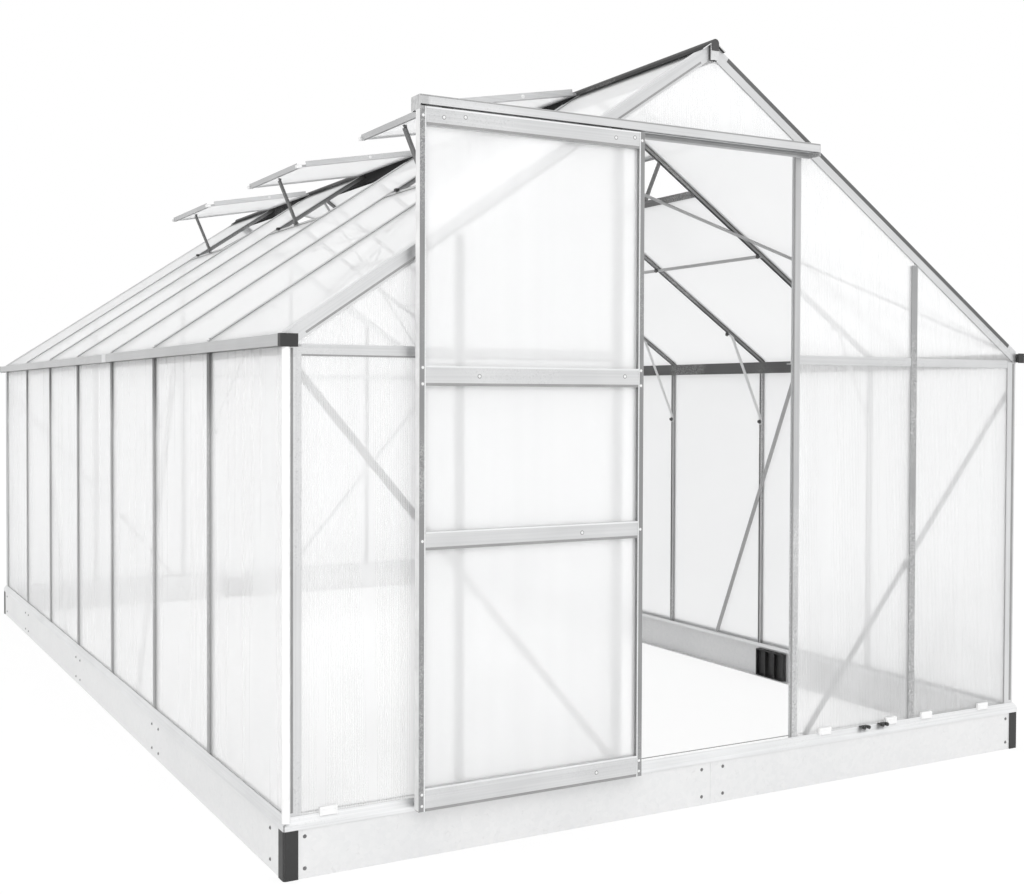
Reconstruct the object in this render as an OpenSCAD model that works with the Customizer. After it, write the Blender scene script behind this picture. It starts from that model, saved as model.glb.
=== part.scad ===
// Walk-in greenhouse: aluminium glazing bars and twin-wall sheets on a folded steel base,
// with a sliding door in the front gable and propped roof vents.
// The front faces -Y. X = 0 is the middle of the house and Z = 0 the underside of the base.

/* [House] */
// Width over the steel base
house_w = 2500; // [2200:10:2800]
// Length of one bay, from bar centre to bar centre
bay_len = 608; // [540:2:660]
// Number of bays along each side
bays = 7; // [4:1:9]
// How much longer the bay at each end is
end_extra = 50; // [0:5:80]
// Height of the roof surface above the side of the base
eave_z = 1288; // [1150:2:1450]
// Roof pitch in degrees
pitch = 34; // [31:1:38]
// Distance from the corner of the base to the first gable post
gable_post_in = 465; // [400:5:540]

/* [Base] */
// Height of the folded steel base
base_h = 125; // [90:1:150]
// Width of the two flanges that the base turns inwards
base_flange = 30; // [24:1:36]
// Thickness of the base sheet
base_t = 1.2; // [1:0.1:2]
// Length of one leg of a plastic corner piece
corner_leg = 34; // [24:1:45]
// Thickness of a plastic corner piece
corner_t = 2.5; // [2:0.1:4]
// Length of a joint plate inside the base
joiner_len = 165; // [120:5:240]
// Thickness of a joint plate
joiner_t = 4; // [3:0.5:6]
// Depth of a joint plate's ribs
joiner_rib = 18; // [12:1:22]

/* [Bars] */
// Width of a glazing bar's outer flange
bar_w = 24; // [20:1:32]
// Wall thickness of the aluminium bars
bar_t = 1.5; // [1.2:0.1:2]
// Thickness of the web between two sheets
web_t = 2; // [1.6:0.1:3]
// Width of the inner flange that the sheets lie on
seat_w = 18; // [16:0.5:22]
// Outer width of the bolt channel
chan_w = 14; // [12:0.5:16]
// Depth of the bolt channel behind the inner flange
chan_d = 9.4; // [8:0.2:14]
// Width of the bolt channel's slot
slot_w = 6.4; // [5:0.1:8]
// Width of the outer flanges of the corner bars and gable rafters
corner_bar_leg = 36; // [30:1:42]
// How far the bars' outer faces lie inside the face of the base
face_in = 10; // [8:0.5:14]
// Height of the sill's upstand above the top of the base
sill_h = 23; // [22:1:40]
// How far the sill's drip edge stands in front of the base
drip = 3; // [2.6:0.1:6]
// How far the drip edge reaches down over the base
drip_h = 7; // [4:0.5:12]
// Height of the sill's outer edge above the top of the base
sill_edge_h = 6; // [4:0.5:10]
// Height of the sill's inner edge above its floor
sill_back_h = 12; // [8:1:16]

/* [Sheets] */
// Thickness of the twin-wall sheets
pane_t = 4; // [3:0.5:6]
// Play on each face of a sheet in its groove
pane_fit = 0.3; // [0.2:0.05:0.5]
// Gap between a sheet's edge and the web of a bar
edge_gap = 1; // [0.8:0.1:1.5]

/* [Eaves] */
// Outer width of the gutter, from the side of the base
gutter_out = 15; // [13:1:30]
// Height of the gutter's outer wall
gutter_h = 28; // [24:1:40]
// How far the roof sheets reach out over the gutter
overhang = 4; // [0:1:6]
// Thickness of the plastic end caps
cap_t = 3; // [2:0.5:5]
// Diameter of the downpipe
pipe_d = 20; // [18:1:24]
// The downpipe's centre, from the side of the base
pipe_x = 2; // [0:1:6]
// How far the downpipe's centre stands in front of the base
pipe_out = 7; // [6:1:12]
// Height of the angles inside the gables at eave level
rail_h = 25; // [20:1:36]

/* [Ridge and vents] */
// Half the width of the ridge bar
ridge_hw = 12; // [10:1:20]
// Height of the ridge bar below the apex of the roof
ridge_d = 52; // [48:1:70]
// Width of the lips at the bottom of the ridge bar
ridge_lip = 6; // [4:0.5:8]
// How far the ridge's end plates reach down from the apex
ridge_end = 26; // [20:1:40]
// Reach of the ridge bar's fins over the roof sheets, from the middle
ridge_fin = 38; // [32:1:46]
// Length of a roof vent down the slope
vent_len = 500; // [400:10:600]
// Opening angle of the roof vents in degrees
vent_open = 23.5; // [5:0.5:35]
// Width of a vent's frame bars
vent_bar = 18; // [14:1:24]
// How far the vent covers its sill when it is shut
vent_lap = 12; // [6:1:14]

/* [Door] */
// Width of the doorway, from jamb centre to jamb centre
doorway_w = 626; // [540:2:700]
// Width of the sliding door
door_w = 659; // [630:1:760]
// Thickness of the door
door_t = 24; // [20:1:30]
// Gap between the plane of the base and the back of the door
door_gap = 15; // [12:1:30]
// Height of the door's lower edge
door_z = 125; // [118:1:150]
// How far the underside of the track lies below the apex of the roof
head_drop = 280; // [270:1:330]
// Travel of the door from open to closed
door_travel = 591; // [560:1:660]
// Gap between the top of the door and the track
door_top_gap = 5; // [5:0.5:10]
// Width of the door's stiles
stile_w = 17; // [16:1:32]
// Height of the door's top rail
top_rail_h = 45; // [36:1:60]
// Height of the door's bottom rail
bottom_rail_h = 56; // [36:1:70]
// Height of the upper middle rail
upper_rail_h = 49; // [36:1:60]
// Height of the lower middle rail
lower_rail_h = 45; // [30:1:50]
// Level of the upper middle rail's lower edge
upper_rail_z = 1168; // [1000:2:1300]
// Level of the lower middle rail's lower edge
lower_rail_z = 766; // [600:2:900]
// Height of the track
track_h = 23; // [22:1:40]
// Wall thickness of the track
track_t = 1.6; // [1.4:0.1:2.4]
// How far the track runs on past the closed door
track_over = 22; // [10:1:60]
// How far the track's back plate hangs below the track
track_hang = 12; // [6:1:20]
// Radius of a roller
roller_r = 9; // [7:0.5:9.5]
// Distance of the nearer buffer from the right gable post
stop_in = 127; // [100:1:160]
// Distance from one buffer to the other
stop_step = 75; // [50:1:80]

/* [Braces] */
// Width of the diagonal straps
strap_w = 20; // [15:1:26]
// Thickness of the straps
strap_t = 2; // [1.5:0.1:3]
// Width of a knee brace
knee_w = 15; // [12:1:20]
// Distance of the roof purlins up the slope from the eave
purlin_s = 635; // [500:5:760]
// How far below the eave bar a knee brace meets its post
knee_drop = 177; // [140:1:220]
// How far up the slope a knee brace meets its rafter
knee_reach = 195; // [160:1:240]
// Length of a knee brace's bolted tabs
knee_tab = 32; // [24:1:40]

/* [Hidden] */
$fn = 32;

fit = 0.3;           // standard play between pieces that are fitted by hand
seam = 0.5;          // butt joint between two lengths of the base
house_l = bay_len * bays + 2 * end_extra;
half_w = house_w / 2;
front_reach = door_gap + door_t + 1;      // the track's front face, in front of the base
y_mid = (house_l + max(cap_t, corner_t) - front_reach) / 2;

// Depths into a bar, from its outer face
groove = pane_t + 2 * pane_fit;
groove_in = bar_t + groove;
seat_in = groove_in + bar_t;
bar_d = seat_in + chan_d;
inner_in = face_in + bar_d;               // inner plane of the bars, from the face of the base
pane_in = face_in + bar_t + pane_fit;     // outer face of a wall sheet, from the face of the base

// Levels
sill_floor = base_h + bar_t;
sill_top = base_h + sill_h;
pane_foot = sill_floor + fit;
gutter_top = eave_z - 1;
gutter_z = gutter_top - gutter_h;         // underside of the gutter
eave_web_z = gutter_z - 19;               // underside of the eave bar's inner web
ridge_z = eave_z + half_w * tan(pitch);   // apex of the roof surface
track_z = ridge_z - head_drop;
track_top = track_z + track_h;
door_top = track_z - door_top_gap;

// Position of the bar between bays k - 1 and k along a side; the first and the last are the ends
function bar_y(k) = (k <= 0) ? 0 : (k >= bays) ? house_l : end_extra + k * bay_len;

// Slope frame: s runs up the roof from the side of the base, n points out of the roof
slope_len = half_w / cos(pitch);
function s_at(x, n) = (x + n * sin(pitch)) / cos(pitch);
function roof_z(x, n) = eave_z + x * tan(pitch) + n / cos(pitch);
pane_n = -(bar_t + pane_fit + pane_t);    // underside of a roof sheet
rafter_top_s = s_at(half_w - ridge_hw - fit, pane_n);

// Roof vents stand in every second bay
vent_bays = [for (k = [1:2:bays - 2]) k];
vent_h = pane_t + 2 * (pane_fit + bar_t);
fin_up = 2.1;                             // height of the ridge bar's fins above the roof surface
hinge_r = 3.2;
hinge_n = fin_up + fit + hinge_r;
hinge_s = s_at(half_w - ridge_fin, hinge_n) - 1;
vent_sill_s = hinge_s - vent_len + vent_lap;
vent_sill_w = 14;                         // half the sill's width down the slope
vent_w = bay_len - 6;

// Seams of the base and its joint plates
seam_shift = 56;                          // how far a seam lies in front of its post
side_seams = [for (k = [2:2:bays - 1]) bar_y(k) - seam_shift];
end_seams = [half_w];

// Door, closed over the middle of the front and parked to its left
door_x0 = -door_w / 2 - door_travel;
door_x1 = door_x0 + door_w;
door_y0 = -door_gap - door_t;
jamb_in = half_w - doorway_w / 2;         // from the corner to the middle of a jamb
door_yc = -door_gap - door_t / 2;
slot_d = 9;                               // depth of the sheet grooves in the door's frame
hanger_in = 80;                           // distance of a roller from the door's edge
track_x0 = door_x0;
track_x1 = door_w / 2 + track_over;
track_slot = 9;

module placed() translate([0, -y_mid, 0]) children();

// Frames of the four walls: X runs along the wall, Y into the house
module front_wall() placed() translate([-half_w, 0, 0]) children();
module back_wall() placed() translate([half_w, house_l, 0]) rotate([0, 0, 180]) children();
module left_wall() placed() translate([-half_w, house_l, 0]) rotate([0, 0, -90]) children();
module right_wall() placed() translate([half_w, 0, 0]) rotate([0, 0, 90]) children();

// Frames of the two slopes: X runs up the slope, Z out of the roof
module left_slope() placed() translate([-half_w, 0, eave_z]) rotate([0, -pitch, 0]) children();
module right_slope() mirror([1, 0, 0]) left_slope() children();

module both_slopes() {
    left_slope() children();
    right_slope() children();
}

function other_half(half) = [for (i = [len(half) - 1:-1:0]) [-half[i][0], half[i][1]]];
function with_mirror(half) = concat(half, other_half(half));

// Glazing bar: outer flange, web between the sheets, seat flange and bolt channel
function bar_section() = with_mirror([
    [bar_w / 2, 0], [bar_w / 2, bar_t], [web_t / 2, bar_t], [web_t / 2, groove_in],
    [seat_w / 2, groove_in], [seat_w / 2, seat_in], [chan_w / 2, seat_in], [chan_w / 2, bar_d],
    [slot_w / 2, bar_d], [slot_w / 2, bar_d - bar_t], [chan_w / 2 - bar_t, bar_d - bar_t],
    [chan_w / 2 - bar_t, seat_in]]);

// Corner bar: the same grooves on two faces that meet at a right angle
module corner_section() {
    leg = corner_bar_leg;
    difference() {
        polygon([[0, 0], [leg, 0], [leg, bar_t], [seat_in, bar_t], [seat_in, groove_in],
            [leg, groove_in], [leg, seat_in], [bar_d, seat_in], [bar_d, bar_d],
            [seat_in, bar_d], [seat_in, leg], [groove_in, leg], [groove_in, seat_in],
            [bar_t, seat_in], [bar_t, leg], [0, leg]]);
        translate([seat_in + bar_t, seat_in + bar_t])
            square(bar_d - seat_in - 2 * bar_t);
    }
}

// Extrudes a section drawn in (Y, Z) along X
module run(length) rotate([90, 0, 90]) linear_extrude(length) children();

// A run along a wall, mitred at both corners
module mitred_run(length, low, high, depth) {
    reach = 10;
    intersection() {
        run(length) children();
        translate([0, 0, low])
            linear_extrude(high - low)
                polygon([[-reach + fit / 2, -reach], [length + reach - fit / 2, -reach],
                    [length - depth - fit / 2, depth], [depth + fit / 2, depth]]);
    }
}

module base_section() {
    square([base_t, base_h]);
    square([base_flange, base_t]);
    translate([0, base_h - base_t]) square([base_flange, base_t]);
}

// One side of the base, cut into lengths at the seams
module base_side(length, seams) {
    difference() {
        mitred_run(length, 0, base_h, base_flange + 1) base_section();
        for (x = seams)
            translate([x - seam / 2, -1, -1]) cube([seam, base_flange + 2, base_h + 2]);
    }
}

module sill_section() {
    lip_y = face_in - fit;
    inner_y = inner_in + strap_t + fit;
    edge_z = base_h + sill_edge_h;
    back_z = sill_floor + sill_back_h;
    polygon([[-drip, base_h - drip_h], [-drip, edge_z], [lip_y - bar_t, sill_top],
        [lip_y, sill_top], [-drip + bar_t, edge_z + bar_t], [-drip + bar_t, sill_floor],
        [inner_y, sill_floor], [inner_y, back_z], [inner_y + bar_t, back_z],
        [inner_y + bar_t, base_h], [-drip + bar_t, base_h], [-drip + bar_t, base_h - drip_h]]);
}

// Height of the sill's sloping face, y in from the face of the base
function sill_z(y) = base_h + sill_edge_h
    + (sill_h - sill_edge_h) * (y + drip) / (face_in - fit - bar_t + drip);

module sill(length) {
    mitred_run(length, base_h - drip_h, sill_top, inner_in + strap_t + bar_t + 1) sill_section();
}

module post(x, height) {
    translate([x, face_in, sill_floor]) linear_extrude(height - sill_floor) polygon(bar_section());
}

// Height of a gable post: it ends under the gable rafter
function post_top(x) = roof_z(x - bar_w / 2, -corner_bar_leg) - fit;

module base_front() color("gainsboro") front_wall() base_side(house_w, end_seams);
module base_back() color("gainsboro") back_wall() base_side(house_w, end_seams);
module base_left() color("gainsboro") left_wall()
    base_side(house_l, [for (y = side_seams) house_l - y]);
module base_right() color("gainsboro") right_wall() base_side(house_l, side_seams);

// Plastic pieces that wrap the corners of the base
module corner_piece() {
    round_r = 8;
    high = base_h - drip_h - fit;
    difference() {
        union() {
            translate([-corner_t + round_r, -corner_t + round_r, 0]) cylinder(r = round_r, h = high);
            translate([-corner_t + round_r, -corner_t, 0])
                cube([corner_leg + corner_t - round_r, 2 * corner_t, high]);
            translate([-corner_t, -corner_t + round_r, 0])
                cube([2 * corner_t, corner_leg + corner_t - round_r, high]);
        }
        translate([-fit, -fit, -1]) cube([corner_leg + round_r, corner_leg + round_r, base_h + 2]);
    }
}

module base_corners() color("#2a2a2c") placed() {
    for (sx = [0, 1], sy = [0, 1])
        mirror([sx, 0, 0])
            translate([-half_w, sy * house_l, 0]) mirror([0, sy, 0]) corner_piece();
}

// Ribbed plates that join two lengths of the base from inside
module joiner() {
    clear = 14;          // room above the plate for the sill's screws
    plate_h = base_h - 2 * base_t - 2 * fit - clear;
    translate([-joiner_len / 2, base_t, base_t + fit]) {
        cube([joiner_len, joiner_t, plate_h]);
        for (i = [0:3])
            translate([i * (joiner_len - joiner_t) / 3, 0, 0]) cube([joiner_t, joiner_rib, plate_h]);
        for (z = [0, plate_h - joiner_t])
            translate([0, 0, z]) cube([joiner_len, joiner_rib, joiner_t]);
    }
}

module base_joiners() color("#2a2a2c") {
    for (x = end_seams) {
        front_wall() translate([x, 0, 0]) joiner();
        back_wall() translate([x, 0, 0]) joiner();
    }
    for (x = side_seams) {
        right_wall() translate([x, 0, 0]) joiner();
        left_wall() translate([house_l - x, 0, 0]) joiner();
    }
}

module front_sill() color("whitesmoke") front_wall() sill(house_w);
module back_sill() color("whitesmoke") back_wall() sill(house_w);
module side_sills() color("whitesmoke") {
    left_wall() sill(house_l);
    right_wall() sill(house_l);
}

module corner_posts() color("silver") placed() {
    top = max(roof_z(face_in, -corner_bar_leg), gutter_z) - fit;
    for (sx = [0, 1], sy = [0, 1])
        mirror([sx, 0, 0])
            translate([-half_w, sy * house_l, sill_floor]) mirror([0, sy, 0])
                translate([face_in, face_in, 0]) linear_extrude(top - sill_floor) corner_section();
}

module side_posts() {
    for (k = [1:bays - 1]) post(bar_y(k), gutter_z);
}

module left_posts() color("silver") left_wall() side_posts();
module right_posts() color("silver") right_wall() side_posts();

module gable_posts() color("silver") {
    front_wall() for (x = [gable_post_in, house_w - gable_post_in])
        post(x, post_top(min(x, house_w - x)));
    back_wall() for (x = [gable_post_in, jamb_in, house_w - jamb_in, house_w - gable_post_in])
        post(x, post_top(min(x, house_w - x)));
}

module door_jambs() color("silver") front_wall()
    for (x = [jamb_in, house_w - jamb_in]) post(x, track_z - fit);

// Angles inside the gables at eave level, and the bar that carries the sheet over the doorway
module rail_angle(x0, x1) {
    leg = corner_bar_leg + face_in - inner_in;
    translate([x0, inner_in, eave_web_z]) {
        cube([x1 - x0, bar_t, rail_h]);
        cube([x1 - x0, leg, bar_t]);
    }
}

module head_bar() {
    mid_z = track_z + track_h / 2;
    face = track_h / 2 - 0.5;    // half the height of the outer flange
    seat = face - 3;             // half the height of the inner flange
    x_in = (mid_z + face - eave_z) / tan(pitch) + (corner_bar_leg + 2) / sin(pitch);
    translate([x_in, face_in, mid_z]) run(house_w - 2 * x_in)
        polygon([[0, -face], [bar_t, -face], [bar_t, -bar_t / 2], [groove_in, -bar_t / 2],
            [groove_in, -seat], [seat_in, -seat], [seat_in, seat], [groove_in, seat],
            [groove_in, bar_t / 2], [bar_t, bar_t / 2], [bar_t, face], [0, face]]);
}

module gable_rails() color("lightgray") {
    rail_x0 = face_in + seat_in + fit;
    front_wall() {
        rail_angle(rail_x0, jamb_in + chan_w / 2);
        rail_angle(house_w - jamb_in - chan_w / 2, house_w - rail_x0);
        head_bar();
    }
    back_wall() rail_angle(rail_x0, house_w - rail_x0);
}

// Eave bar: gutter outside, web inside, notched at both ends for the corner posts
module eave_section() {
    t = 1.8;
    web_top = roof_z(inner_in, -bar_d) - fit;
    web_x = inner_in + strap_t + 0.5;
    polygon([[-gutter_out, gutter_z], [inner_in, gutter_z], [inner_in, eave_web_z],
        [web_x, eave_web_z], [web_x, web_top], [inner_in, web_top], [inner_in, gutter_z + t],
        [-gutter_out + t, gutter_z + t], [-gutter_out + t, gutter_top - t],
        [-gutter_out + t + 3, gutter_top - t], [-gutter_out + t + 3, gutter_top],
        [-gutter_out, gutter_top]]);
}

module eave_bar() {
    notch = corner_bar_leg + face_in + fit;
    difference() {
        run(house_l) eave_section();
        for (x = [-1, house_l - notch])
            translate([x, face_in - fit, eave_web_z - 1])
                cube([notch + 1, inner_in + 10, ridge_z]);
    }
}

module left_gutter() color("silver") left_wall() eave_bar();
module right_gutter() color("silver") right_wall() eave_bar();

// End plate of a gutter
cap_low = gutter_z - 2;
cap_h = gutter_h + 3;
cap_left = -gutter_out - 1;

module gutter_cap()
    translate([cap_left, -cap_t, cap_low]) cube([face_in - cap_left, cap_t, cap_h]);

// Housing at the front left corner: it closes the gutter, and the downpipe hangs on its spout
spout_d = pipe_d - 3 - 2 * fit;
spout_h = 16;

module pipe_housing() {
    wall = 2;
    out = pipe_out + pipe_d / 2 + 1;
    wide = inner_in + 1 - cap_left;
    difference() {
        union() {
            translate([cap_left, -out, cap_low]) cube([wide, out, cap_h]);
            translate([pipe_x, -pipe_out, cap_low - spout_h]) cylinder(d = spout_d, h = spout_h + 1);
        }
        translate([cap_left + wall, -out + wall, cap_low + wall])
            cube([wide - 2 * wall, out - 2 * wall, cap_h - 2 * wall]);
        translate([pipe_x, -pipe_out, cap_low - spout_h - 1])
            cylinder(d = spout_d - 4, h = spout_h + wall + 2);
    }
}

module gutter_caps() color("#2a2a2c") placed() {
    for (corner = [[1, 0], [0, 1], [1, 1]])
        mirror([corner[0], 0, 0])
            translate([-half_w, corner[1] * house_l, 0]) mirror([0, corner[1], 0]) gutter_cap();
    translate([-half_w, 0, 0]) pipe_housing();
}

module downpipe() color("white") placed() {
    foot = sill_z(pipe_d / 2 - pipe_out) + 1;
    translate([-half_w + pipe_x, -pipe_out, foot]) difference() {
        cylinder(d = pipe_d, h = cap_low - fit - foot);
        translate([0, 0, -1]) cylinder(d = pipe_d - 3, h = cap_low);
    }
}

// Ridge bar: a channel with fins that lap over the roof sheets
module ridge_section() {
    t = 2;
    top = fin_up / cos(pitch) - ridge_hw * tan(pitch);
    polygon(with_mirror([[0, top], [ridge_hw, top],
        [ridge_fin, -ridge_fin * tan(pitch) + fin_up / cos(pitch)],
        [ridge_fin, -ridge_fin * tan(pitch) + fit / cos(pitch)],
        [ridge_hw, -ridge_hw * tan(pitch) + fit / cos(pitch)], [ridge_hw, -ridge_d],
        [ridge_hw - ridge_lip, -ridge_d], [ridge_hw - ridge_lip, -ridge_d + t],
        [ridge_hw - t, -ridge_d + t],
        [ridge_hw - t, top - t]]));
}

module along_ridge(y, length) {
    placed() translate([0, y + length, ridge_z]) rotate([90, 0, 0]) linear_extrude(length) children();
}

module ridge_bar() color("silver") along_ridge(0, house_l) ridge_section();

cover_z = fin_up / cos(pitch) - ridge_hw * tan(pitch) + 0.1;

module ridge_cover() color("#2c2d30") {
    along_ridge(0, house_l) intersection() {
        difference() {
            translate([0, cover_z]) circle(r = ridge_hw, $fn = 48);
            translate([0, cover_z]) circle(r = ridge_hw - 2, $fn = 48);
        }
        translate([-ridge_hw, cover_z]) square([2 * ridge_hw, 2 * ridge_hw]);
    }
    for (y = [-cap_t, house_l])
        along_ridge(y, cap_t) {
            translate([0, cover_z]) circle(r = ridge_hw, $fn = 48);
            translate([-ridge_hw, -ridge_end]) square([2 * ridge_hw, ridge_end + cover_z]);
        }
}

// Keeps the part of a left-hand slope piece that lies between the wall and the ridge bar
module between_eave_and_ridge(x0) {
    intersection() {
        children();
        placed() translate([-half_w + x0, -bay_len, gutter_z])
            cube([half_w - x0 - ridge_hw - fit, house_l + 2 * bay_len, ridge_z]);
    }
}

module rafter(y) {
    left_slope() translate([-40, y, 0]) run(slope_len + 40)
        polygon([for (p = bar_section()) [p[0], -p[1]]]);
}

module side_rafters() {
    between_eave_and_ridge(face_in)
        for (k = [1:bays - 1]) rafter(bar_y(k));
}

module left_rafters() color("silver") side_rafters();
module right_rafters() color("silver") mirror([1, 0, 0]) side_rafters();

module gable_rafter_pair() {
    between_eave_and_ridge(face_in) {
        left_slope() translate([-40, face_in, 0]) run(slope_len + 40)
            mirror([0, 1]) corner_section();
        left_slope() translate([-40, house_l - face_in, 0]) run(slope_len + 40)
            mirror([1, 0]) mirror([0, 1]) corner_section();
    }
}

module gable_rafters() color("silver") {
    gable_rafter_pair();
    mirror([1, 0, 0]) gable_rafter_pair();
}

// Points along an arc round c, from angle a0 to a1
function arc(c, r, a0, a1, steps = 8) =
    [for (i = [0:steps]) c + r * [cos(a0 + (a1 - a0) * i / steps), sin(a0 + (a1 - a0) * i / steps)]];

// A flat strap in the XY plane with round ends, from p to q
module strap(p, q) {
    v = q - p;
    r = strap_w / 2;
    translate(p) rotate(atan2(v[1], v[0])) linear_extrude(strap_t)
        polygon(concat(arc([0, 0], r, 90, 270), arc([norm(v), 0], r, -90, 90)));
}

purlin_end = 8;      // how far a purlin runs past the middle of its last rafter

module roof_purlins() color("darkgray")
    both_slopes() translate([purlin_s, bar_y(1) - purlin_end, -bar_d - strap_t])
        cube([knee_w, house_l - 2 * (bar_y(1) - purlin_end), strap_t]);

// Straps in the plane of a side wall; the frame's Z becomes the wall's Y
module on_wall() translate([0, inner_in, 0]) rotate([90, 0, 0]) mirror([0, 0, 1]) children();

strap_foot = sill_floor + sill_back_h + fit + strap_w / 2;    // level of a strap's lower end

module wall_straps() {
    top = eave_web_z - strap_w / 2 - fit;
    a = [end_extra + 2.443 * bay_len, strap_foot];
    b = [end_extra + 1.656 * bay_len, top];
    on_wall() {
        strap(a, b);
        strap([house_l - a[0], a[1]], [house_l - b[0], b[1]]);
    }
}

module roof_straps() {
    y0 = face_in + seat_in + strap_w / 2 + 0.5;
    p = [strap_w / 2 + inner_in / cos(pitch), y0];
    q = [rafter_top_s - strap_w, bar_y(2)];
    translate([0, 0, -bar_d - strap_t]) {
        strap(p, q);
        strap([p[0], house_l - p[1]], [q[0], house_l - q[1]]);
    }
}

module wind_braces() color("lightgray") {
    left_wall() wall_straps();
    right_wall() wall_straps();
    both_slopes() roof_straps();
}

// The brace on the left starts higher than the one on the right
module gable_straps() on_wall() {
    x = inner_in + 1;
    strap([x, eave_web_z - 20], [jamb_in, strap_foot + 12]);
    strap([house_w - x, eave_web_z - 80], [house_w - jamb_in + 60, strap_foot]);
}

module gable_braces() color("lightgray") {
    front_wall() gable_straps();
    back_wall() gable_straps();
}

// Knee brace: one bent strap from a post's channel to a rafter's channel
module knee(x) {
    t = strap_t;
    n = bar_d + 0.02;
    foot = [inner_in, eave_web_z - knee_drop];
    top = [knee_reach * cos(pitch) + n * sin(pitch), eave_z + knee_reach * sin(pitch) - n * cos(pitch)];
    tip = [top[0] + knee_tab * cos(pitch), top[1] + knee_tab * sin(pitch)];
    dn = [t * sin(pitch), -t * cos(pitch)];
    translate([x - knee_w / 2, 0, 0]) run(knee_w)
        polygon([foot, [foot[0], foot[1] - knee_tab], [foot[0] + t, foot[1] - knee_tab],
            [foot[0] + t, foot[1] - 1], top + dn + [1, 0], tip + dn, tip, top]);
}

module knee_braces() color("lightgray") {
    left_wall() for (k = [1:bays - 1]) knee(bar_y(k));
    right_wall() for (k = [1:bays - 1]) knee(bar_y(k));
}

// Edges of the sheet between two uprights
function sheet_lo(k) = edge_gap + ((k == 0) ? face_in + seat_in : bar_y(k) + web_t / 2);
function sheet_hi(k) = house_l - sheet_lo(bays - 1 - k);

module wall_sheets() {
    for (k = [0:bays - 1])
        translate([sheet_lo(k), pane_in, pane_foot])
            cube([sheet_hi(k) - sheet_lo(k), pane_t, gutter_z - fit - pane_foot]);
}

module left_wall_sheets() color("white") left_wall() wall_sheets();
module right_wall_sheets() color("white") right_wall() wall_sheets();

// A gable sheet from x0 to x1, cut along the slope and at the level top
module gable_sheet(x0, x1, foot, top) {
    line_n = -(seat_in + edge_gap);
    x_top = (top - eave_z - line_n / cos(pitch)) / tan(pitch);
    corners = [[x0, foot], [x1, foot], [x1, min(top, roof_z(x1, line_n))],
        if (x_top > x0 && x_top < x1) [x_top, top],
        [x0, min(top, roof_z(x0, line_n))]];
    translate([0, pane_in + pane_t, 0]) rotate([90, 0, 0]) linear_extrude(pane_t) polygon(corners);
}

module half_gable_sheets(head) {
    gable_sheet(face_in + seat_in + edge_gap, gable_post_in - web_t / 2 - edge_gap, pane_foot, ridge_z);
    gable_sheet(gable_post_in + web_t / 2 + edge_gap, jamb_in - web_t / 2 - edge_gap, pane_foot, head);
}

// The sheet under the ridge, from one slope to the other
module peak_sheet(foot, half) {
    line_n = -(seat_in + edge_gap);
    top = ridge_z - ridge_d - fit;
    x_top = half_w - (top - eave_z - line_n / cos(pitch)) / tan(pitch);
    x_foot = min(half, half_w - (foot - eave_z - line_n / cos(pitch)) / tan(pitch));
    shoulder = min(top, roof_z(half_w - x_foot, line_n));
    translate([half_w, pane_in + pane_t, 0]) rotate([90, 0, 0]) linear_extrude(pane_t)
        polygon(with_mirror([[x_top, top], [x_foot, max(shoulder, foot + 1)], [x_foot, foot]]));
}

module front_gable_sheets() color("white") front_wall() {
    mid_z = track_z + track_h / 2;
    half_gable_sheets(mid_z - bar_t / 2 - edge_gap);
    translate([house_w, 0, 0]) mirror([1, 0, 0]) half_gable_sheets(mid_z - bar_t / 2 - edge_gap);
    peak_sheet(mid_z + bar_t / 2 + fit, half_w);
}

module back_gable_sheets() color("white") back_wall() {
    half_gable_sheets(ridge_z);
    translate([house_w, 0, 0]) mirror([1, 0, 0]) half_gable_sheets(ridge_z);
    peak_sheet(pane_foot, doorway_w / 2 - web_t / 2 - edge_gap);
}

function has_vent(k) = len(search(k, vent_bays)) > 0;

module roof_sheets() {
    s0 = s_at(-overhang, 0);
    for (k = [0:bays - 1]) {
        s1 = has_vent(k) ? vent_sill_s - edge_gap : rafter_top_s;
        translate([s0, sheet_lo(k), pane_n]) cube([s1 - s0, sheet_hi(k) - sheet_lo(k), pane_t]);
    }
}

module left_roof_sheets() color("white") left_slope() roof_sheets();
module right_roof_sheets() color("white") right_slope() roof_sheets();

// Frame of one vent: X is 0 at the hinge and runs down to -vent_len, Y is 0 at its middle
module in_vents() {
    both_slopes() for (k = vent_bays)
        translate([hinge_s, bar_y(k) + bay_len / 2, hinge_n]) rotate([0, vent_open, 0]) children();
}

// Vent frame bar: a channel that grips the edge of the sheet, open towards +X
module vent_channel(width) {
    h = vent_h / 2;
    polygon([[0, -h], [width, -h], [width, -h + bar_t], [bar_t, -h + bar_t],
        [bar_t, h - bar_t], [width, h - bar_t], [width, h], [0, h]]);
}

module vent_frames() color("silver") in_vents() {
    side = vent_w / 2;
    rail_l = vent_w - 2 * vent_bar - 2 * fit;
    for (m = [0, 1]) mirror([0, m, 0])
        translate([-vent_len, -side, 0]) run(vent_len - 4) vent_channel(vent_bar);
    translate([-vent_len, rail_l / 2, 0]) rotate([90, 0, 0]) linear_extrude(rail_l) {
        vent_channel(vent_bar);
        translate([-bar_t, -vent_h / 2 - 5]) square([bar_t, vent_h + 5]);
    }
    translate([0, rail_l / 2, 0]) rotate([90, 0, 0]) linear_extrude(rail_l) {
        mirror([1, 0]) translate([3, 0]) vent_channel(vent_bar - 3);
        circle(r = hinge_r);
    }
}

module vent_sheets() color("white") in_vents()
    translate([-vent_len + bar_t + edge_gap, -vent_w / 2 + bar_t + edge_gap, -pane_t / 2])
        cube([vent_len - 4 - 2 * (bar_t + edge_gap), vent_w - 2 * (bar_t + edge_gap), pane_t]);

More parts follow.
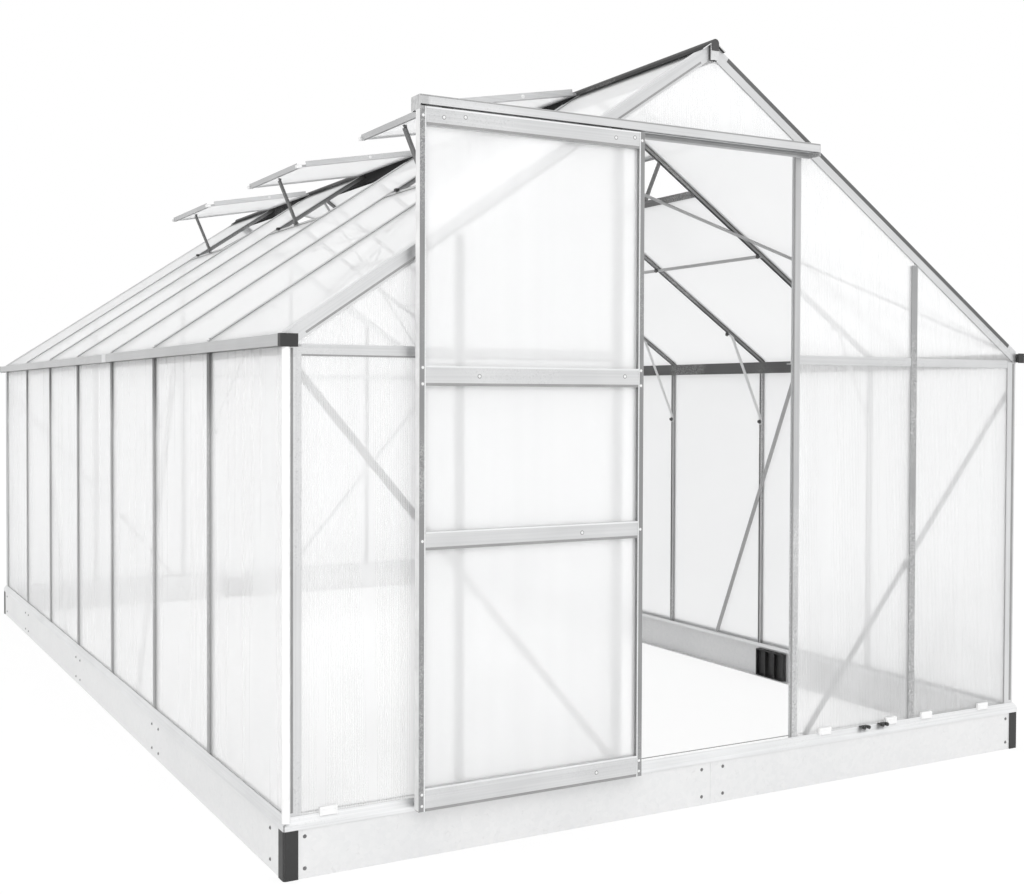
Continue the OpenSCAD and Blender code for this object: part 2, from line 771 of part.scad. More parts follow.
// Sill of a vent opening, between two rafters
module vent_sill_section() {
    w = vent_sill_w;
    difference() {
        polygon([[-w, 0], [w, 0], [w, -bar_d], [0, -bar_d], [0, -seat_in], [-w + 2, -seat_in],
            [-w + 2, -groove_in], [0, -groove_in], [0, -bar_t], [-w, -bar_t]]);
        translate([bar_t, -bar_d + bar_t]) square([w - 2 * bar_t, bar_d - 2 * bar_t]);
    }
}

module vent_sills() color("silver") both_slopes() for (k = vent_bays) {
    y0 = bar_y(k) + bar_w / 2 + fit;
    y1 = bar_y(k + 1) - bar_w / 2 - fit;
    translate([vent_sill_s, y1, 0]) rotate([90, 0, 0]) linear_extrude(y1 - y0) vent_sill_section();
}

// Stay: a strap with peg holes, from under the vent's bottom rail to the sill
module vent_stays() color("darkgray") both_slopes() for (k = vent_bays) {
    arm = vent_len - vent_bar - 6;
    drop = vent_h / 2 + fit + 7;
    a = [hinge_s - arm * cos(vent_open) - drop * sin(vent_open),
        hinge_n + arm * sin(vent_open) - drop * cos(vent_open)];
    b = [vent_sill_s + 4, 8];
    v = b - a;
    translate([0, bar_y(k) + (bay_len + knee_w) / 2, 0]) rotate([90, 0, 0]) {
        linear_extrude(knee_w) {
            translate(a) rotate(atan2(v[1], v[0])) translate([0, -1]) square([norm(v), 2]);
            translate(a) circle(r = 4);
            translate(a) rotate(vent_open) translate([-1, 0]) square([2, 7]);
            translate(b) circle(r = 4);
            translate([b[0] - 1, fit]) square([2, b[1]]);
            translate([b[0] - 7, fit]) square([14, 2]);
        }
    }
}

// Track: a channel with a slot below for the rollers and a back plate on the jambs
module track_section() {
    t = track_t;
    yf = -front_reach;
    yr = -door_gap + 2;
    a = door_yc - track_slot / 2;
    b = door_yc + track_slot / 2;
    polygon([[yf, track_z], [a, track_z], [a, track_z + t], [yf + t, track_z + t],
        [yf + t, track_top - t], [yr - t, track_top - t], [yr - t, track_z + t],
        [b, track_z + t], [b, track_z], [yr, track_z], [yr, track_top - t],
        [face_in - t, track_top - t], [face_in - t, track_z - track_hang],
        [face_in, track_z - track_hang],
        [face_in, track_top], [yf, track_top]]);
}

// The track with a plate that closes each end
module door_track() color("silver") placed() {
    translate([track_x0, 0, 0]) run(track_x1 - track_x0) track_section();
    for (x = [track_x0, track_x1 - track_t])
        translate([x, -front_reach, track_z]) cube([track_t, door_t + 3, track_h]);
}

// Two pairs of black buffers hooked over the front sill, right of the door
module door_stops() color("#1c1c1e") front_wall()
    for (x = [stop_in + stop_step, stop_in])
        translate([house_w - gable_post_in - x, 0, sill_top + fit]) {
            translate([-15, -drip - 1, 0]) cube([30, drip + face_in + 1, 2]);
            for (dx = [-9, 9])
                translate([dx, -drip - 1, -1]) rotate([90, 0, 0]) cylinder(r = 5.5, h = 7);
        }

// Door frame sections: hollow, with a groove for the sheet
module stile_section() {
    slot = groove / 2;
    difference() {
        square([stile_w, door_t]);
        translate([bar_t, bar_t]) square([stile_w - slot_d - 2 * bar_t, door_t - 2 * bar_t]);
        translate([stile_w - slot_d, door_t / 2 - slot]) square([slot_d + 1, groove]);
    }
}

// A rail's section in (Y, Z); up and down say which edges hold a sheet
module rail_section(height, down, up) {
    lo = down ? slot_d + bar_t : bar_t;
    hi = up ? slot_d + bar_t : bar_t;
    difference() {
        square([door_t, height]);
        translate([bar_t, lo]) square([door_t - 2 * bar_t, height - lo - hi]);
        if (down) translate([door_t / 2 - groove / 2, -1]) square([groove, slot_d + 1]);
        if (up) translate([door_t / 2 - groove / 2, height - slot_d]) square([groove, slot_d + 1]);
    }
}

module door_frame() placed() translate([door_x0, door_y0, 0]) children();

module door_stiles() color("silver") door_frame() {
    translate([0, 0, door_z]) linear_extrude(door_top - door_z) stile_section();
    translate([door_w, 0, door_z]) linear_extrude(door_top - door_z)
        mirror([1, 0]) stile_section();
}

door_rail_l = door_w - 2 * stile_w - 2 * fit;

module door_rails() color("lightgray") door_frame() translate([stile_w + fit, 0, 0]) {
    translate([0, 0, door_z]) run(door_rail_l) rail_section(bottom_rail_h, false, true);
    translate([0, 0, lower_rail_z]) run(door_rail_l) rail_section(lower_rail_h, true, true);
    translate([0, 0, upper_rail_z]) run(door_rail_l) rail_section(upper_rail_h, true, true);
    translate([0, 0, door_top - top_rail_h]) run(door_rail_l) rail_section(top_rail_h, true, false);
}

module door_sheet(low, high) {
    grip = slot_d - edge_gap;
    translate([stile_w - grip, door_t / 2 - pane_t / 2, low - grip])
        cube([door_w - 2 * (stile_w - grip), pane_t, high - low + 2 * grip]);
}

module door_sheets() color("white") door_frame() {
    door_sheet(door_z + bottom_rail_h, lower_rail_z);
    door_sheet(lower_rail_z + lower_rail_h, upper_rail_z);
    door_sheet(upper_rail_z + upper_rail_h, door_top - top_rail_h);
}

hanger_w = 30;
hanger_t = 3;

// Hanger with two rollers that run on the lips of the track
module hanger() {
    wheel_z = track_z + track_t + fit + roller_r;
    wheel_w = 5;
    out = (front_reach - track_t - fit) + door_yc;
    translate([-hanger_w / 2, door_yc - hanger_t / 2, door_top])
        cube([hanger_w, hanger_t, wheel_z - door_top]);
    translate([0, door_yc + out, wheel_z]) rotate([90, 0, 0]) cylinder(r = 3, h = 2 * out);
    for (m = [0, 1])
        translate([0, door_yc, wheel_z]) mirror([0, m, 0]) translate([0, out, 0])
            rotate([90, 0, 0]) cylinder(r = roller_r, h = wheel_w);
}

module door_rollers() color("#3a3a3c") placed() {
    translate([door_x0 + hanger_in, 0, 0]) hanger();
    translate([door_x1 - hanger_in, 0, 0]) hanger();
}

base_front();
base_back();
base_left();
base_right();
base_corners();
base_joiners();
front_sill();
back_sill();
side_sills();
corner_posts();
left_posts();
right_posts();
gable_posts();
door_jambs();
gable_rails();
left_gutter();
right_gutter();
gutter_caps();
downpipe();
ridge_bar();
ridge_cover();
gable_rafters();
left_rafters();
right_rafters();
roof_purlins();
wind_braces();
gable_braces();
knee_braces();
left_wall_sheets();
right_wall_sheets();
front_gable_sheets();
back_gable_sheets();
left_roof_sheets();
right_roof_sheets();
vent_frames();
vent_sheets();
vent_stays();
vent_sills();
door_track();
door_stops();
door_stiles();
door_rails();
door_sheets();
door_rollers();
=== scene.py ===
# %% [markdown]
# # Dressing a walk-in greenhouse
# The frame of this part is already solid and true to size: aluminium bars, twin-wall sheets,
# a folded steel base and a sliding door. This notebook gives it its finishes and the small
# things a kit comes with, such as bolts, clips, seals and corner blocks.
# Nothing here moves or reshapes a bar. New pieces take their places from the solids.

# %% Load the frame
import math

import bmesh
import bpy
import numpy as np
from mathutils import Matrix, Vector


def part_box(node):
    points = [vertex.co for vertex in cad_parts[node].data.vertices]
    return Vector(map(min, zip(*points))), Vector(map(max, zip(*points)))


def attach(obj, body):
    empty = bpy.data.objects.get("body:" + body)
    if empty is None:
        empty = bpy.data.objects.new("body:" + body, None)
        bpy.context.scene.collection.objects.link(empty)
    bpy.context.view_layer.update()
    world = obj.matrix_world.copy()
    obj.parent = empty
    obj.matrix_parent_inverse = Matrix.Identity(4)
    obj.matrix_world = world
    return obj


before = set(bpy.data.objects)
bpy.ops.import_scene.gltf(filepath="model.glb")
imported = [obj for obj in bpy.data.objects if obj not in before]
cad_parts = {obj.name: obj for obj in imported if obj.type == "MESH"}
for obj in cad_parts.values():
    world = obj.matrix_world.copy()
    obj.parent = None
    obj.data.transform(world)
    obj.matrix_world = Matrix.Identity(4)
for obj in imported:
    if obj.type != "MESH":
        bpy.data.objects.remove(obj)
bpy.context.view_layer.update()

# %% [markdown]
# ## Reading the house
# Bolts and clips sit where bars cross, so the script needs to know where the bars are.
# A list of typed positions would go stale when a size changes. Instead, the solids of a node
# are told apart by following their edges, and each gives its box. The pitch of the roof comes
# from the direction in which a roof sheet faces.

# %% Boxes of the solids in a node
WELDS_PER_METRE = 2e4  # corners nearer than 0.05 mm count as one


def solids_of(node, axis=1):
    """Boxes of the separate solids of a node, sorted along one axis, in metres."""
    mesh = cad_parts[node].data
    co = np.empty(len(mesh.vertices) * 3)
    mesh.vertices.foreach_get("co", co)
    co = co.reshape(-1, 3)
    _, weld = np.unique(np.round(co * WELDS_PER_METRE).astype(int), axis=0, return_inverse=True)
    weld = weld.ravel()
    leader = list(range(int(weld.max()) + 1))

    def lead(i):
        while leader[i] != i:
            leader[i] = leader[leader[i]]
            i = leader[i]
        return i

    for edge in mesh.edges:
        a, b = (lead(int(weld[v])) for v in edge.vertices)
        leader[a] = b
    group = np.array([lead(int(w)) for w in weld])
    boxes = [
        (Vector(co[group == g].min(0)), Vector(co[group == g].max(0)))
        for g in np.unique(group)
    ]
    return sorted(boxes, key=lambda b: b[0][axis] + b[1][axis])


def middle(box):
    """The centre of a box, which is its lowest and its highest corner."""
    return (box[0] + box[1]) / 2


def side_of(box, axis=0):
    """-1 for a box on the low side of the house, 1 for one on the high side."""
    return -1 if middle(box)[axis] < 0 else 1


post_y = [middle(b).y for b in solids_of("right_posts")]
gable_x = [middle(b).x for b in solids_of("gable_posts", 0)]
print("side posts at", [round(y, 3) for y in post_y])
print("gable posts at", [round(x, 3) for x in gable_x])

# %% Levels and the slope of the roof
half_w = -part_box("base_left")[0].x
front_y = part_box("base_front")[0].y
back_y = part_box("base_back")[1].y
bay = post_y[1] - post_y[0]
sheet_face = max(
    (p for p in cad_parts["left_roof_sheets"].data.polygons if p.normal.z > 0.5),
    key=lambda p: p.area,
)
pitch = math.atan2(-sheet_face.normal.x, sheet_face.normal.z)
roof_out = Vector((-math.sin(pitch), 0, math.cos(pitch)))
roof_up = Vector((math.cos(pitch), 0, math.sin(pitch)))
rafter_outs = [v.co.dot(roof_out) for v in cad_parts["left_rafters"].data.vertices]
rafter_face, rafter_back = max(rafter_outs), min(rafter_outs)
eave_z = (rafter_face - half_w * math.sin(pitch)) / math.cos(pitch)
apex_z = eave_z + half_w * math.tan(pitch)


def mirrored(side, v):
    """A point or direction of the left slope (side -1), kept or mirrored for the right one (1)."""
    return Vector((-side * v.x, v.y, v.z))


def on_slope(side, up, y, out=0.0):
    """A point on a slope: up from the eave, at y along the house, out of the roof."""
    return mirrored(side, Vector((-half_w, y, eave_z)) + roof_up * up + roof_out * out)


print(f"pitch {math.degrees(pitch):.1f} degrees, eave {eave_z:.3f} m, bay {bay:.3f} m")

# %% [markdown]
# ## The camera
# A long lens would flatten the house and a short one would bend it. This one stands at a
# person's chest height near the front left corner, a few metres back, and looks slightly down.
# It is aimed by three angles, so its rotation is built from its own right, up and forward.

# %% Camera
yaw, tilt, roll = (math.radians(a) for a in (29.1984, -1.1335, 0.2025))
ahead_level = Vector((math.sin(yaw), math.cos(yaw), 0))
forward = ahead_level * math.cos(tilt) + Vector((0, 0, math.sin(tilt)))
level = Vector((math.cos(yaw), -math.sin(yaw), 0))
upright = level.cross(forward)
right = level * math.cos(roll) + upright * math.sin(roll)
up = upright * math.cos(roll) - level * math.sin(roll)

camera = bpy.data.objects.new("camera", bpy.data.cameras.new("camera"))
camera.data.sensor_width = 36
camera.data.lens = 46.4245
camera.data.shift_x = -0.00227
camera.data.shift_y = -0.02415
camera.matrix_world = Matrix.Translation((-2.2841, -5.1108, 1.1435)) @ Matrix(
    (right, up, -forward)
).transposed().to_4x4()
bpy.context.scene.collection.objects.link(camera)
bpy.context.scene.camera = camera
print("camera at", [round(c, 3) for c in camera.location])

# %% [markdown]
# ## One bench for every node tree
# A finish is mostly arithmetic: take a pattern, scale it, use it to blend two tones. Drawn by
# hand, that is dozens of Math nodes. `Flow` wraps a socket so that `0.4 + 0.2 * grain` adds
# those nodes by itself, and `Bench.add` makes any other node from its type, its settings and
# the values or links of its sockets.

# %% Flow and Bench
class Flow:
    """A number on its way through a node tree. Python's operators add its Math nodes."""

    def __init__(self, bench, socket):
        self.bench = bench
        self.socket = socket

    def math(self, operation, *values):
        """A Math node with these values on its sockets."""
        inputs = dict(enumerate(values))
        return self.bench.add("ShaderNodeMath", {"operation": operation}, inputs)[0]

    def __add__(self, other):
        return self.math("ADD", self, other)

    def __sub__(self, other):
        return self.math("SUBTRACT", self, other)

    def __rsub__(self, other):
        return self.math("SUBTRACT", other, self)

    def __mul__(self, other):
        return self.math("MULTIPLY", self, other)

    def __abs__(self):
        return self.math("ABSOLUTE", self)

    __radd__ = __add__
    __rmul__ = __mul__

    def step(self, low, high):
        """Rises smoothly from 0 at low to 1 at high, or falls where low is the greater."""
        ends = (low, high, 0.0, 1.0) if low < high else (high, low, 1.0, 0.0)
        names = ("From Min", "From Max", "To Min", "To Max")
        return self.bench.add(
            "ShaderNodeMapRange",
            {"interpolation_type": "SMOOTHSTEP"},
            {"Value": self, **dict(zip(names, ends))},
        )[0]


class Bench:
    """A node tree and the one method that puts a node into it."""

    def __init__(self, tree):
        self.tree = tree
        tree.nodes.clear()

    def add(self, kind, settings=None, inputs=None):
        """A node of a kind, with its settings and its inputs, as values or as links."""
        node = self.tree.nodes.new(kind)
        for name, value in (settings or {}).items():
            setattr(node, name, value)
        for key, value in (inputs or {}).items():
            if isinstance(value, Flow):
                self.tree.links.new(value.socket, node.inputs[key])
            else:
                node.inputs[key].default_value = value
        return [Flow(self, socket) for socket in node.outputs]

    def noise(self, place, scale, detail=3.0, rough=0.5, distortion=0.0):
        """A noise pattern from about 0.25 to 0.75."""
        return self.add(
            "ShaderNodeTexNoise",
            None,
            {"Vector": place, "Scale": scale, "Detail": detail, "Roughness": rough,
             "Distortion": distortion},
        )[0]

    def seen(self):
        """1 for rays from the camera, and for those mirrored or let through by the house."""
        ways = {flow.socket.name: flow for flow in self.add("ShaderNodeLightPath")}
        any_way = ways["Is Camera Ray"] + ways["Is Glossy Ray"] + ways["Is Transmission Ray"]
        return any_way.math("MINIMUM", any_way, 1.0)

    def blend(self, share, first, second):
        """A colour between two colours."""
        return self.add(
            "ShaderNodeMix",
            {"data_type": "RGBA", "clamp_factor": True},
            {0: share, 6: first, 7: second},
        )[2]


def grey(level, warm=0.0):
    """A nearly neutral colour; warm leans it towards yellow, and below 0 towards blue."""
    return (level * (1 + warm), level, level * (1 - warm), 1.0)


print("bench ready")

# %% [markdown]
# ## Light and floor
# A pale object in a white room is drawn by its darker edges, so the light has to be even but
# not flat. The world is a soft dome, a little stronger overhead and in front than from the
# left, and one large lamp adds a gentle direction. The background is white because rays from
# the camera, and those mirrored or let through by the house, see plain white. The floor shows
# mostly white too, with a share left for the house's shadow.

# %% World
world = bpy.data.worlds.new("studio")
bpy.context.scene.world = world
world.use_nodes = True
sky = Bench(world.node_tree)
direction = sky.add("ShaderNodeTexCoord")[0]
parts = sky.add("ShaderNodeSeparateXYZ", None, {0: direction})
dome_level = 1.12 + 0.02 * parts[0] - 0.05 * parts[1] + 0.08 * parts[2]
dome_colour = sky.add("ShaderNodeCombineXYZ", None, dict.fromkeys(range(3), dome_level))[0]
dome = sky.add("ShaderNodeBackground", None, {"Color": dome_colour, "Strength": 1.0})[0]
white = sky.add("ShaderNodeBackground", None, {"Color": grey(1.0), "Strength": 1.0})[0]
sky.add(
    "ShaderNodeOutputWorld",
    None,
    {0: sky.add("ShaderNodeMixShader", None, {0: sky.seen(), 1: dome, 2: white})[0]},
)
bpy.context.scene.view_settings.view_transform = "Standard"
print("dome and white background set")

# %% Lamp
def soft_lamp(name, place, aim, size, watts):
    """A round lamp at a place, aimed at a point."""
    data = bpy.data.lights.new(name, "AREA")
    data.shape = "DISK"
    data.size = size
    data.energy = watts
    lamp = bpy.data.objects.new(name, data)
    lamp.location = place
    lamp.rotation_euler = (Vector(aim) - Vector(place)).to_track_quat("-Z", "Y").to_euler()
    bpy.context.scene.collection.objects.link(lamp)


soft_lamp("key", (-3.0, -7.0, 6.0), (0, 0, 0.8), 5.0, 130)

# %% Floor
floor_finish = bpy.data.materials.new("floor_white")
floor_finish.use_nodes = True
bench = Bench(floor_finish.node_tree)
matte = bench.add("ShaderNodeBsdfDiffuse", None, {"Color": grey(0.95)})[0]
glow = bench.add("ShaderNodeEmission", None, {"Color": grey(1.0), "Strength": 1.0})[0]
bench.add(
    "ShaderNodeOutputMaterial",
    None,
    {0: bench.add("ShaderNodeMixShader", None, {0: 0.85 * bench.seen(), 1: matte, 2: glow})[0]},
)
floor_mesh = bpy.data.meshes.new("floor")
reach = 40
floor_corners = [(-reach, -reach, 0), (reach, -reach, 0), (reach, reach, 0), (-reach, reach, 0)]
floor_mesh.from_pydata(floor_corners, [], [(0, 1, 2, 3)])
floor_mesh.materials.append(floor_finish)
floor = bpy.data.objects.new("floor", floor_mesh)
floor.location.z = -0.0005
bpy.context.scene.collection.objects.link(floor)
print("floor ready")

# %% [markdown]
# ## Aluminium
# The bars are pressed through a die and left as they come: silver, with fine lines along
# their length, cloudy patches where they were handled, and crinkled marks where protective
# film has been peeled off. One function makes the finish for any direction in which a bar
# runs. A Mapping node of type Texture turns first and then stretches, so the lines follow
# a sloping rafter as well as a post. Each bar's tone is painted light and shade: it is set to
# how bright that bar looks where it stands. A bar can also have painted light and shade on
# the faces that look into the house or down, a painted shade at its upper end, and painted
# bands. The ridge is the one bar coloured near black, partly a dark finish and partly painted
# shade and painted reflection. It is matt, so it does not turn pale where it is seen along
# its surface.

# %% The aluminium finish
def finish(name):
    """A new material: its bench, its object coordinates, and a function that closes it."""
    material = bpy.data.materials.new(name)
    material.use_nodes = True
    bench = Bench(material.node_tree)
    place = bench.add("ShaderNodeTexCoord")[3]

    def close(varied, height=None, bump=0.3, reach=0.001, **constants):
        inputs = dict(constants)
        inputs.update(varied)
        if height is not None:
            inputs["Normal"] = bench.add(
                "ShaderNodeBump", None, {"Strength": bump, "Distance": reach, "Height": height}
            )[0]
        shader = bench.add(
            "ShaderNodeBsdfPrincipled", None, {k.replace("_", " "): v for k, v in inputs.items()}
        )[0]
        bench.add("ShaderNodeOutputMaterial", None, {0: shader})
        return material

    return bench, place, close


LINE_WIDTH, LINE_LENGTH = 0.004, 0.5
LINE_DARK, LINE_BRIGHT = 0.78, 1.2


def extruded(name, lengthwise, tone, film=0.6, turn=0.0, shade=None, inside=None, bands=(),
             painted=False):
    """Aluminium with lines along X, Y or Z, turned about Y; mill finish, or, with painted set, matt
    and not metallic.

    film is the share of peeled film marks, shade the low, high and depth of a painted shade at
    the upper end, inside the tone of faces that look in or down, which is painted light and
    shade, and a band has its axis, middle, half width, share and tone.
    """
    bench, place, close = finish(name)
    size = [LINE_WIDTH] * 3
    size["XYZ".index(lengthwise)] = LINE_LENGTH
    folded = bench.add("ShaderNodeVectorMath", {"operation": "ABSOLUTE"}, {0: place})[0]
    drawn = bench.add(
        "ShaderNodeMapping",
        {"vector_type": "TEXTURE"},
        {"Vector": folded if turn else place, "Rotation": (0, turn, 0), "Scale": size},
    )[0]
    lines = bench.noise(drawn, 1.0, 2.0)
    cloud = bench.noise(place, 5.0, 4.0)
    patch = bench.noise(place, 2.6, 1.0).step(0.5, 0.62)
    crinkle = bench.noise(place, 85.0, 2.0, 0.6, 1.6)
    scribble = abs(crinkle - 0.5).step(0.05, 0.0) * patch * film
    specks = bench.noise(place, 210.0, 1.0).step(0.6, 0.7) * patch * film
    shine = (lines - 0.5) * 0.7 + (cloud - 0.5) * 0.6 + 0.5
    light = grey(min(1, tone * LINE_BRIGHT), -0.005)
    colour = bench.blend(shine, grey(tone * LINE_DARK, -0.01), light)
    at = bench.add("ShaderNodeSeparateXYZ", None, {0: place})
    # Painted shade: the bar darkens towards its upper end, under the gutter.
    if shade:
        low, high, depth = shade
        colour = bench.blend(at[2].step(low, high) * depth, colour, grey(tone * 0.2))
    # Painted light and shade: faces that look into the house or down get their own tone, lighter on
    # the posts and darker on the rafters and gutters.
    if inside:
        facing = bench.add("ShaderNodeNewGeometry")[1]
        faces = bench.add("ShaderNodeSeparateXYZ", None, {0: facing})
        inward = (faces[0] * at[0]).step(0.3, -0.2) + faces[2].step(-0.2, -0.5)
        light = grey(min(1, inside * LINE_BRIGHT))
        inward_light_colour = bench.blend(shine, grey(inside * LINE_DARK), light)
        colour = bench.blend(inward, colour, inward_light_colour)
    for axis, centre, half, share, level in bands:
        band = abs(at[axis] - centre).step(half * 1.4, half * 0.6)
        colour = bench.blend(band * share, colour, grey(level))
    colour = bench.blend(specks * 0.7, colour, grey(tone * 0.35))
    colour = bench.blend(scribble, colour, grey(0.9))
    return close(
        {"Base Color": colour, "Roughness": 0.3 + 0.16 * lines + 0.3 * scribble},
        height=lines * 0.5 + scribble,
        bump=0.25,
        reach=0.0006,
        Metallic=0.0 if painted else 0.8,
        Specular_IOR_Level=0.0 if painted else 0.5,
    )


track_low, track_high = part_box("door_track")
# Painted shade: a dark line near the top of the track, one near its foot, and a shaded end
track_shade_bands = (
    (2, track_high.z - 0.0022, 0.0018, 0.8, 0.3),
    (2, track_low.z + 0.0075, 0.0018, 0.5, 0.42),
    (0, track_low.x + 0.0115, 0.0115, 0.4, 0.3),
)
# The cut ends of the ridge are bare metal
ridge_bands = tuple((1, y, 0.004, 1.0, 0.68) for y in (front_y, back_y))
# Painted light and shade: the same mill aluminium takes a tone for each bar, from 0.3 on the door
# stiles to 0.82 on the sills, for how bright each bar looks where it stands. The lip, strip and
# pale finishes below do the same.
aluminium = {
    "post": extruded("aluminium_post", "Z", 0.34, shade=(1.03, 1.2, 0.8), inside=0.55),
    "gable_post": extruded("aluminium_gable_post", "Z", 0.38),
    "jamb": extruded("aluminium_jamb", "Z", 0.55),
    "corner": extruded("aluminium_corner", "Z", 0.68, film=0.3),
    "gutter": extruded("aluminium_gutter", "Y", 0.5, film=0.35, inside=0.13),
    "rail": extruded("aluminium_rail", "X", 0.8, film=0.3),
    "rafter": extruded("aluminium_rafter", "X", 0.5, film=0.5, turn=pitch, inside=0.13),
    "gable_rafter": extruded("aluminium_gable_rafter", "X", 0.68, film=0.4, turn=pitch),
    "sill": extruded("aluminium_sill", "X", 0.82, film=0.2),
    "side_sill": extruded("aluminium_side_sill", "Y", 0.74, film=0.3),
    "door_stile": extruded("aluminium_door_stile", "Z", 0.3, film=0.4),
    "door_rail": extruded("aluminium_door_rail", "X", 0.66, film=0.2),
    "track": extruded("aluminium_track", "X", 0.7, film=0.2, bands=track_shade_bands),
    "vent": extruded("aluminium_vent", "X", 0.5, film=0.3),
    # The ridge's near black is partly a dark finish and partly painted shade and painted
    # reflection.
    "ridge": extruded("aluminium_ridge", "Y", 0.06, film=0.2, bands=ridge_bands, painted=True),
    "sleeve": extruded("aluminium_sleeve", "Y", 0.7, film=0.5),
}
bright_lip = extruded("aluminium_lip", "X", 0.88, film=0.1)
strip_metal = extruded("aluminium_strip", "X", 0.56, film=0.3, turn=pitch)
pale_metal = extruded("aluminium_pale", "X", 0.66, film=0.3)
print("aluminium finishes:", len(aluminium))

# %% [markdown]
# ## Galvanised steel
# The base is folded from zinc-coated sheet, almost white, with a faint pattern of zinc
# crystals. Voronoi cells give the crystals, each with its own small shift in tone. The
# braces are the same metal rolled narrower and greyer, and so are bolts and nuts.

# %% Zinc finishes
def zinc(name, tone, crystal=0.012, contrast=0.05, metal=0.35, rough=0.42):
    """Zinc-coated steel; crystal is the size of its spangle and contrast their shift in tone."""
    bench, place, close = finish(name)
    cell = bench.add(
        "ShaderNodeTexVoronoi",
        {"feature": "F1"},
        {"Vector": place, "Scale": 1 / crystal, "Randomness": 1.0},
    )[1]
    shade = bench.add("ShaderNodeSeparateColor", None, {0: cell})[0]
    cloud = bench.noise(place, 3.0, 4.0)
    rub = bench.noise(place, 60.0, 3.0, 0.7, 0.8)
    mix = 0.5 + (shade - 0.5) * 0.5 + (cloud - 0.5) * 1.2
    light = grey(min(1, tone * (1 + contrast)))
    colour = bench.blend(mix, grey(tone * (1 - contrast), -0.006), light)
    colour = bench.blend(rub.step(0.62, 0.72) * 0.35, colour, grey(tone * 0.8))
    return close(
        {"Base Color": colour, "Roughness": rough + 0.14 * shade + 0.1 * rub},
        height=shade * 0.4 + rub * 0.6,
        bump=0.15,
        reach=0.0008,
        Metallic=metal,
    )


# Painted light and shade: the braces are one strap steel at three tones, 0.42 on purlins and wind
# braces, 0.54 on the gable braces and 0.68 on the knee braces, for how bright each looks where it
# stands.
zinc_base = zinc("zinc_base", 0.74)
zinc_strap = zinc("zinc_strap", 0.42, 0.008, 0.12, 0.7, 0.4)
zinc_gable = zinc("zinc_gable", 0.54, 0.008, 0.12, 0.7, 0.4)
zinc_bolt = zinc("zinc_bolt", 0.82, 0.004, 0.06, 0.6, 0.3)
zinc_brace = zinc("zinc_brace", 0.68, 0.008, 0.1, 0.5, 0.4)
zinc_dark = zinc("zinc_dark", 0.2, 0.006, 0.2, 0.7, 0.45)
zinc_nut = zinc("zinc_nut", 0.1, 0.004, 0.15, 0.7, 0.35)
zinc_worn = zinc("zinc_worn", 0.6, 0.006, 0.3, 0.6, 0.45)
print("zinc finishes ready")

# %% [markdown]
# ## Plastics
# Corner pieces, end caps and buffers are moulded black, with a fine matte grain, smears and a
# little dust. The downpipe and the small clips are white and smoother. Seals and felt share
# the same function.

# %% Moulded plastics
BRIGHTEST_PLASTIC = 0.96


def moulded(name, tone, rough, grain=0.35, coat=0.0):
    """Moulded plastic or felt with a pebbled grain, smears and dust."""
    bench, place, close = finish(name)
    pebble = bench.noise(place, 900.0, 2.0)
    smear = bench.noise(place, 14.0, 4.0, 0.6, 0.5)
    dust = bench.noise(place, 45.0, 5.0, 0.7).step(0.55, 0.75)
    colour = bench.blend(smear, grey(tone * 0.8), grey(min(BRIGHTEST_PLASTIC, tone * 1.25)))
    dusty = grey(min(BRIGHTEST_PLASTIC, tone * 1.4 + 0.05))
    colour = bench.blend(dust * 0.25, colour, dusty)
    return close(
        {"Base Color": colour, "Roughness": rough + 0.15 * smear + 0.1 * dust},
        height=pebble,
        bump=grain,
        reach=0.0003,
        Coat_Weight=coat,
        Coat_Roughness=0.25,
    )


black_plastic = moulded("black_plastic", 0.024, 0.42)
ridge_plastic = moulded("ridge_plastic", 0.055, 0.5)
white_plastic = moulded("white_plastic", 0.82, 0.35, 0.1, 0.1)
grey_nylon = moulded("grey_nylon", 0.12, 0.5)
seal_and_shade_grey = moulded("seal_and_shade_grey", 0.26, 0.55)
seal_and_shade_dark = moulded("seal_and_shade_dark", 0.1, 0.55)
pale_felt = moulded("pale_felt", 0.7, 0.8, 0.8)
print("plastics ready")

# %% [markdown]
# ## Twin-wall sheet
# Two thin skins of clear polycarbonate are held apart by ribs a few millimetres from one
# another. The ribs blur what stands behind: a bar against the sheet is plain to see, one a
# metre away is a smear. Rough glass does that by itself. Part of the light is scattered,
# which gives the milky white, and the ribs show as faint lines that run up the sheet.
# A sheet in a gable counts its ribs along X and all others along Y, so the direction in
# which a face looks picks the coordinate. Two shades are painted on the sheets: one beside
# each side post, for the deep inner side of the bar, and one along the fins of the ridge.

# %% Sheet finishes
RIB_SPACING = 0.0061
SHEET_WHITE = 0.99
WAVE_OF_RIBS = 2 * math.pi / RIB_SPACING


def ribbed(bench, place):
    """The wave of the ribs, the distance across them, the height, and 1 on a gable.

    The distance runs along X on a gable, and along Y on a side or a slope.
    """
    at = bench.add("ShaderNodeSeparateXYZ", None, {0: place})
    facing = bench.add("ShaderNodeNewGeometry")[1]
    gable = abs(bench.add("ShaderNodeSeparateXYZ", None, {0: facing})[1]).step(0.45, 0.55)
    across = at[0] * gable + at[1] * (1 - gable)
    ribs = (across * WAVE_OF_RIBS).math("SINE", across * WAVE_OF_RIBS)
    return ribs, across, at[2], gable


def milk(bench, tone, low):
    """The white of the sheet, from a low share of it to all of it."""
    return bench.blend(tone, grey(SHEET_WHITE * low, -0.003), grey(SHEET_WHITE, -0.002))


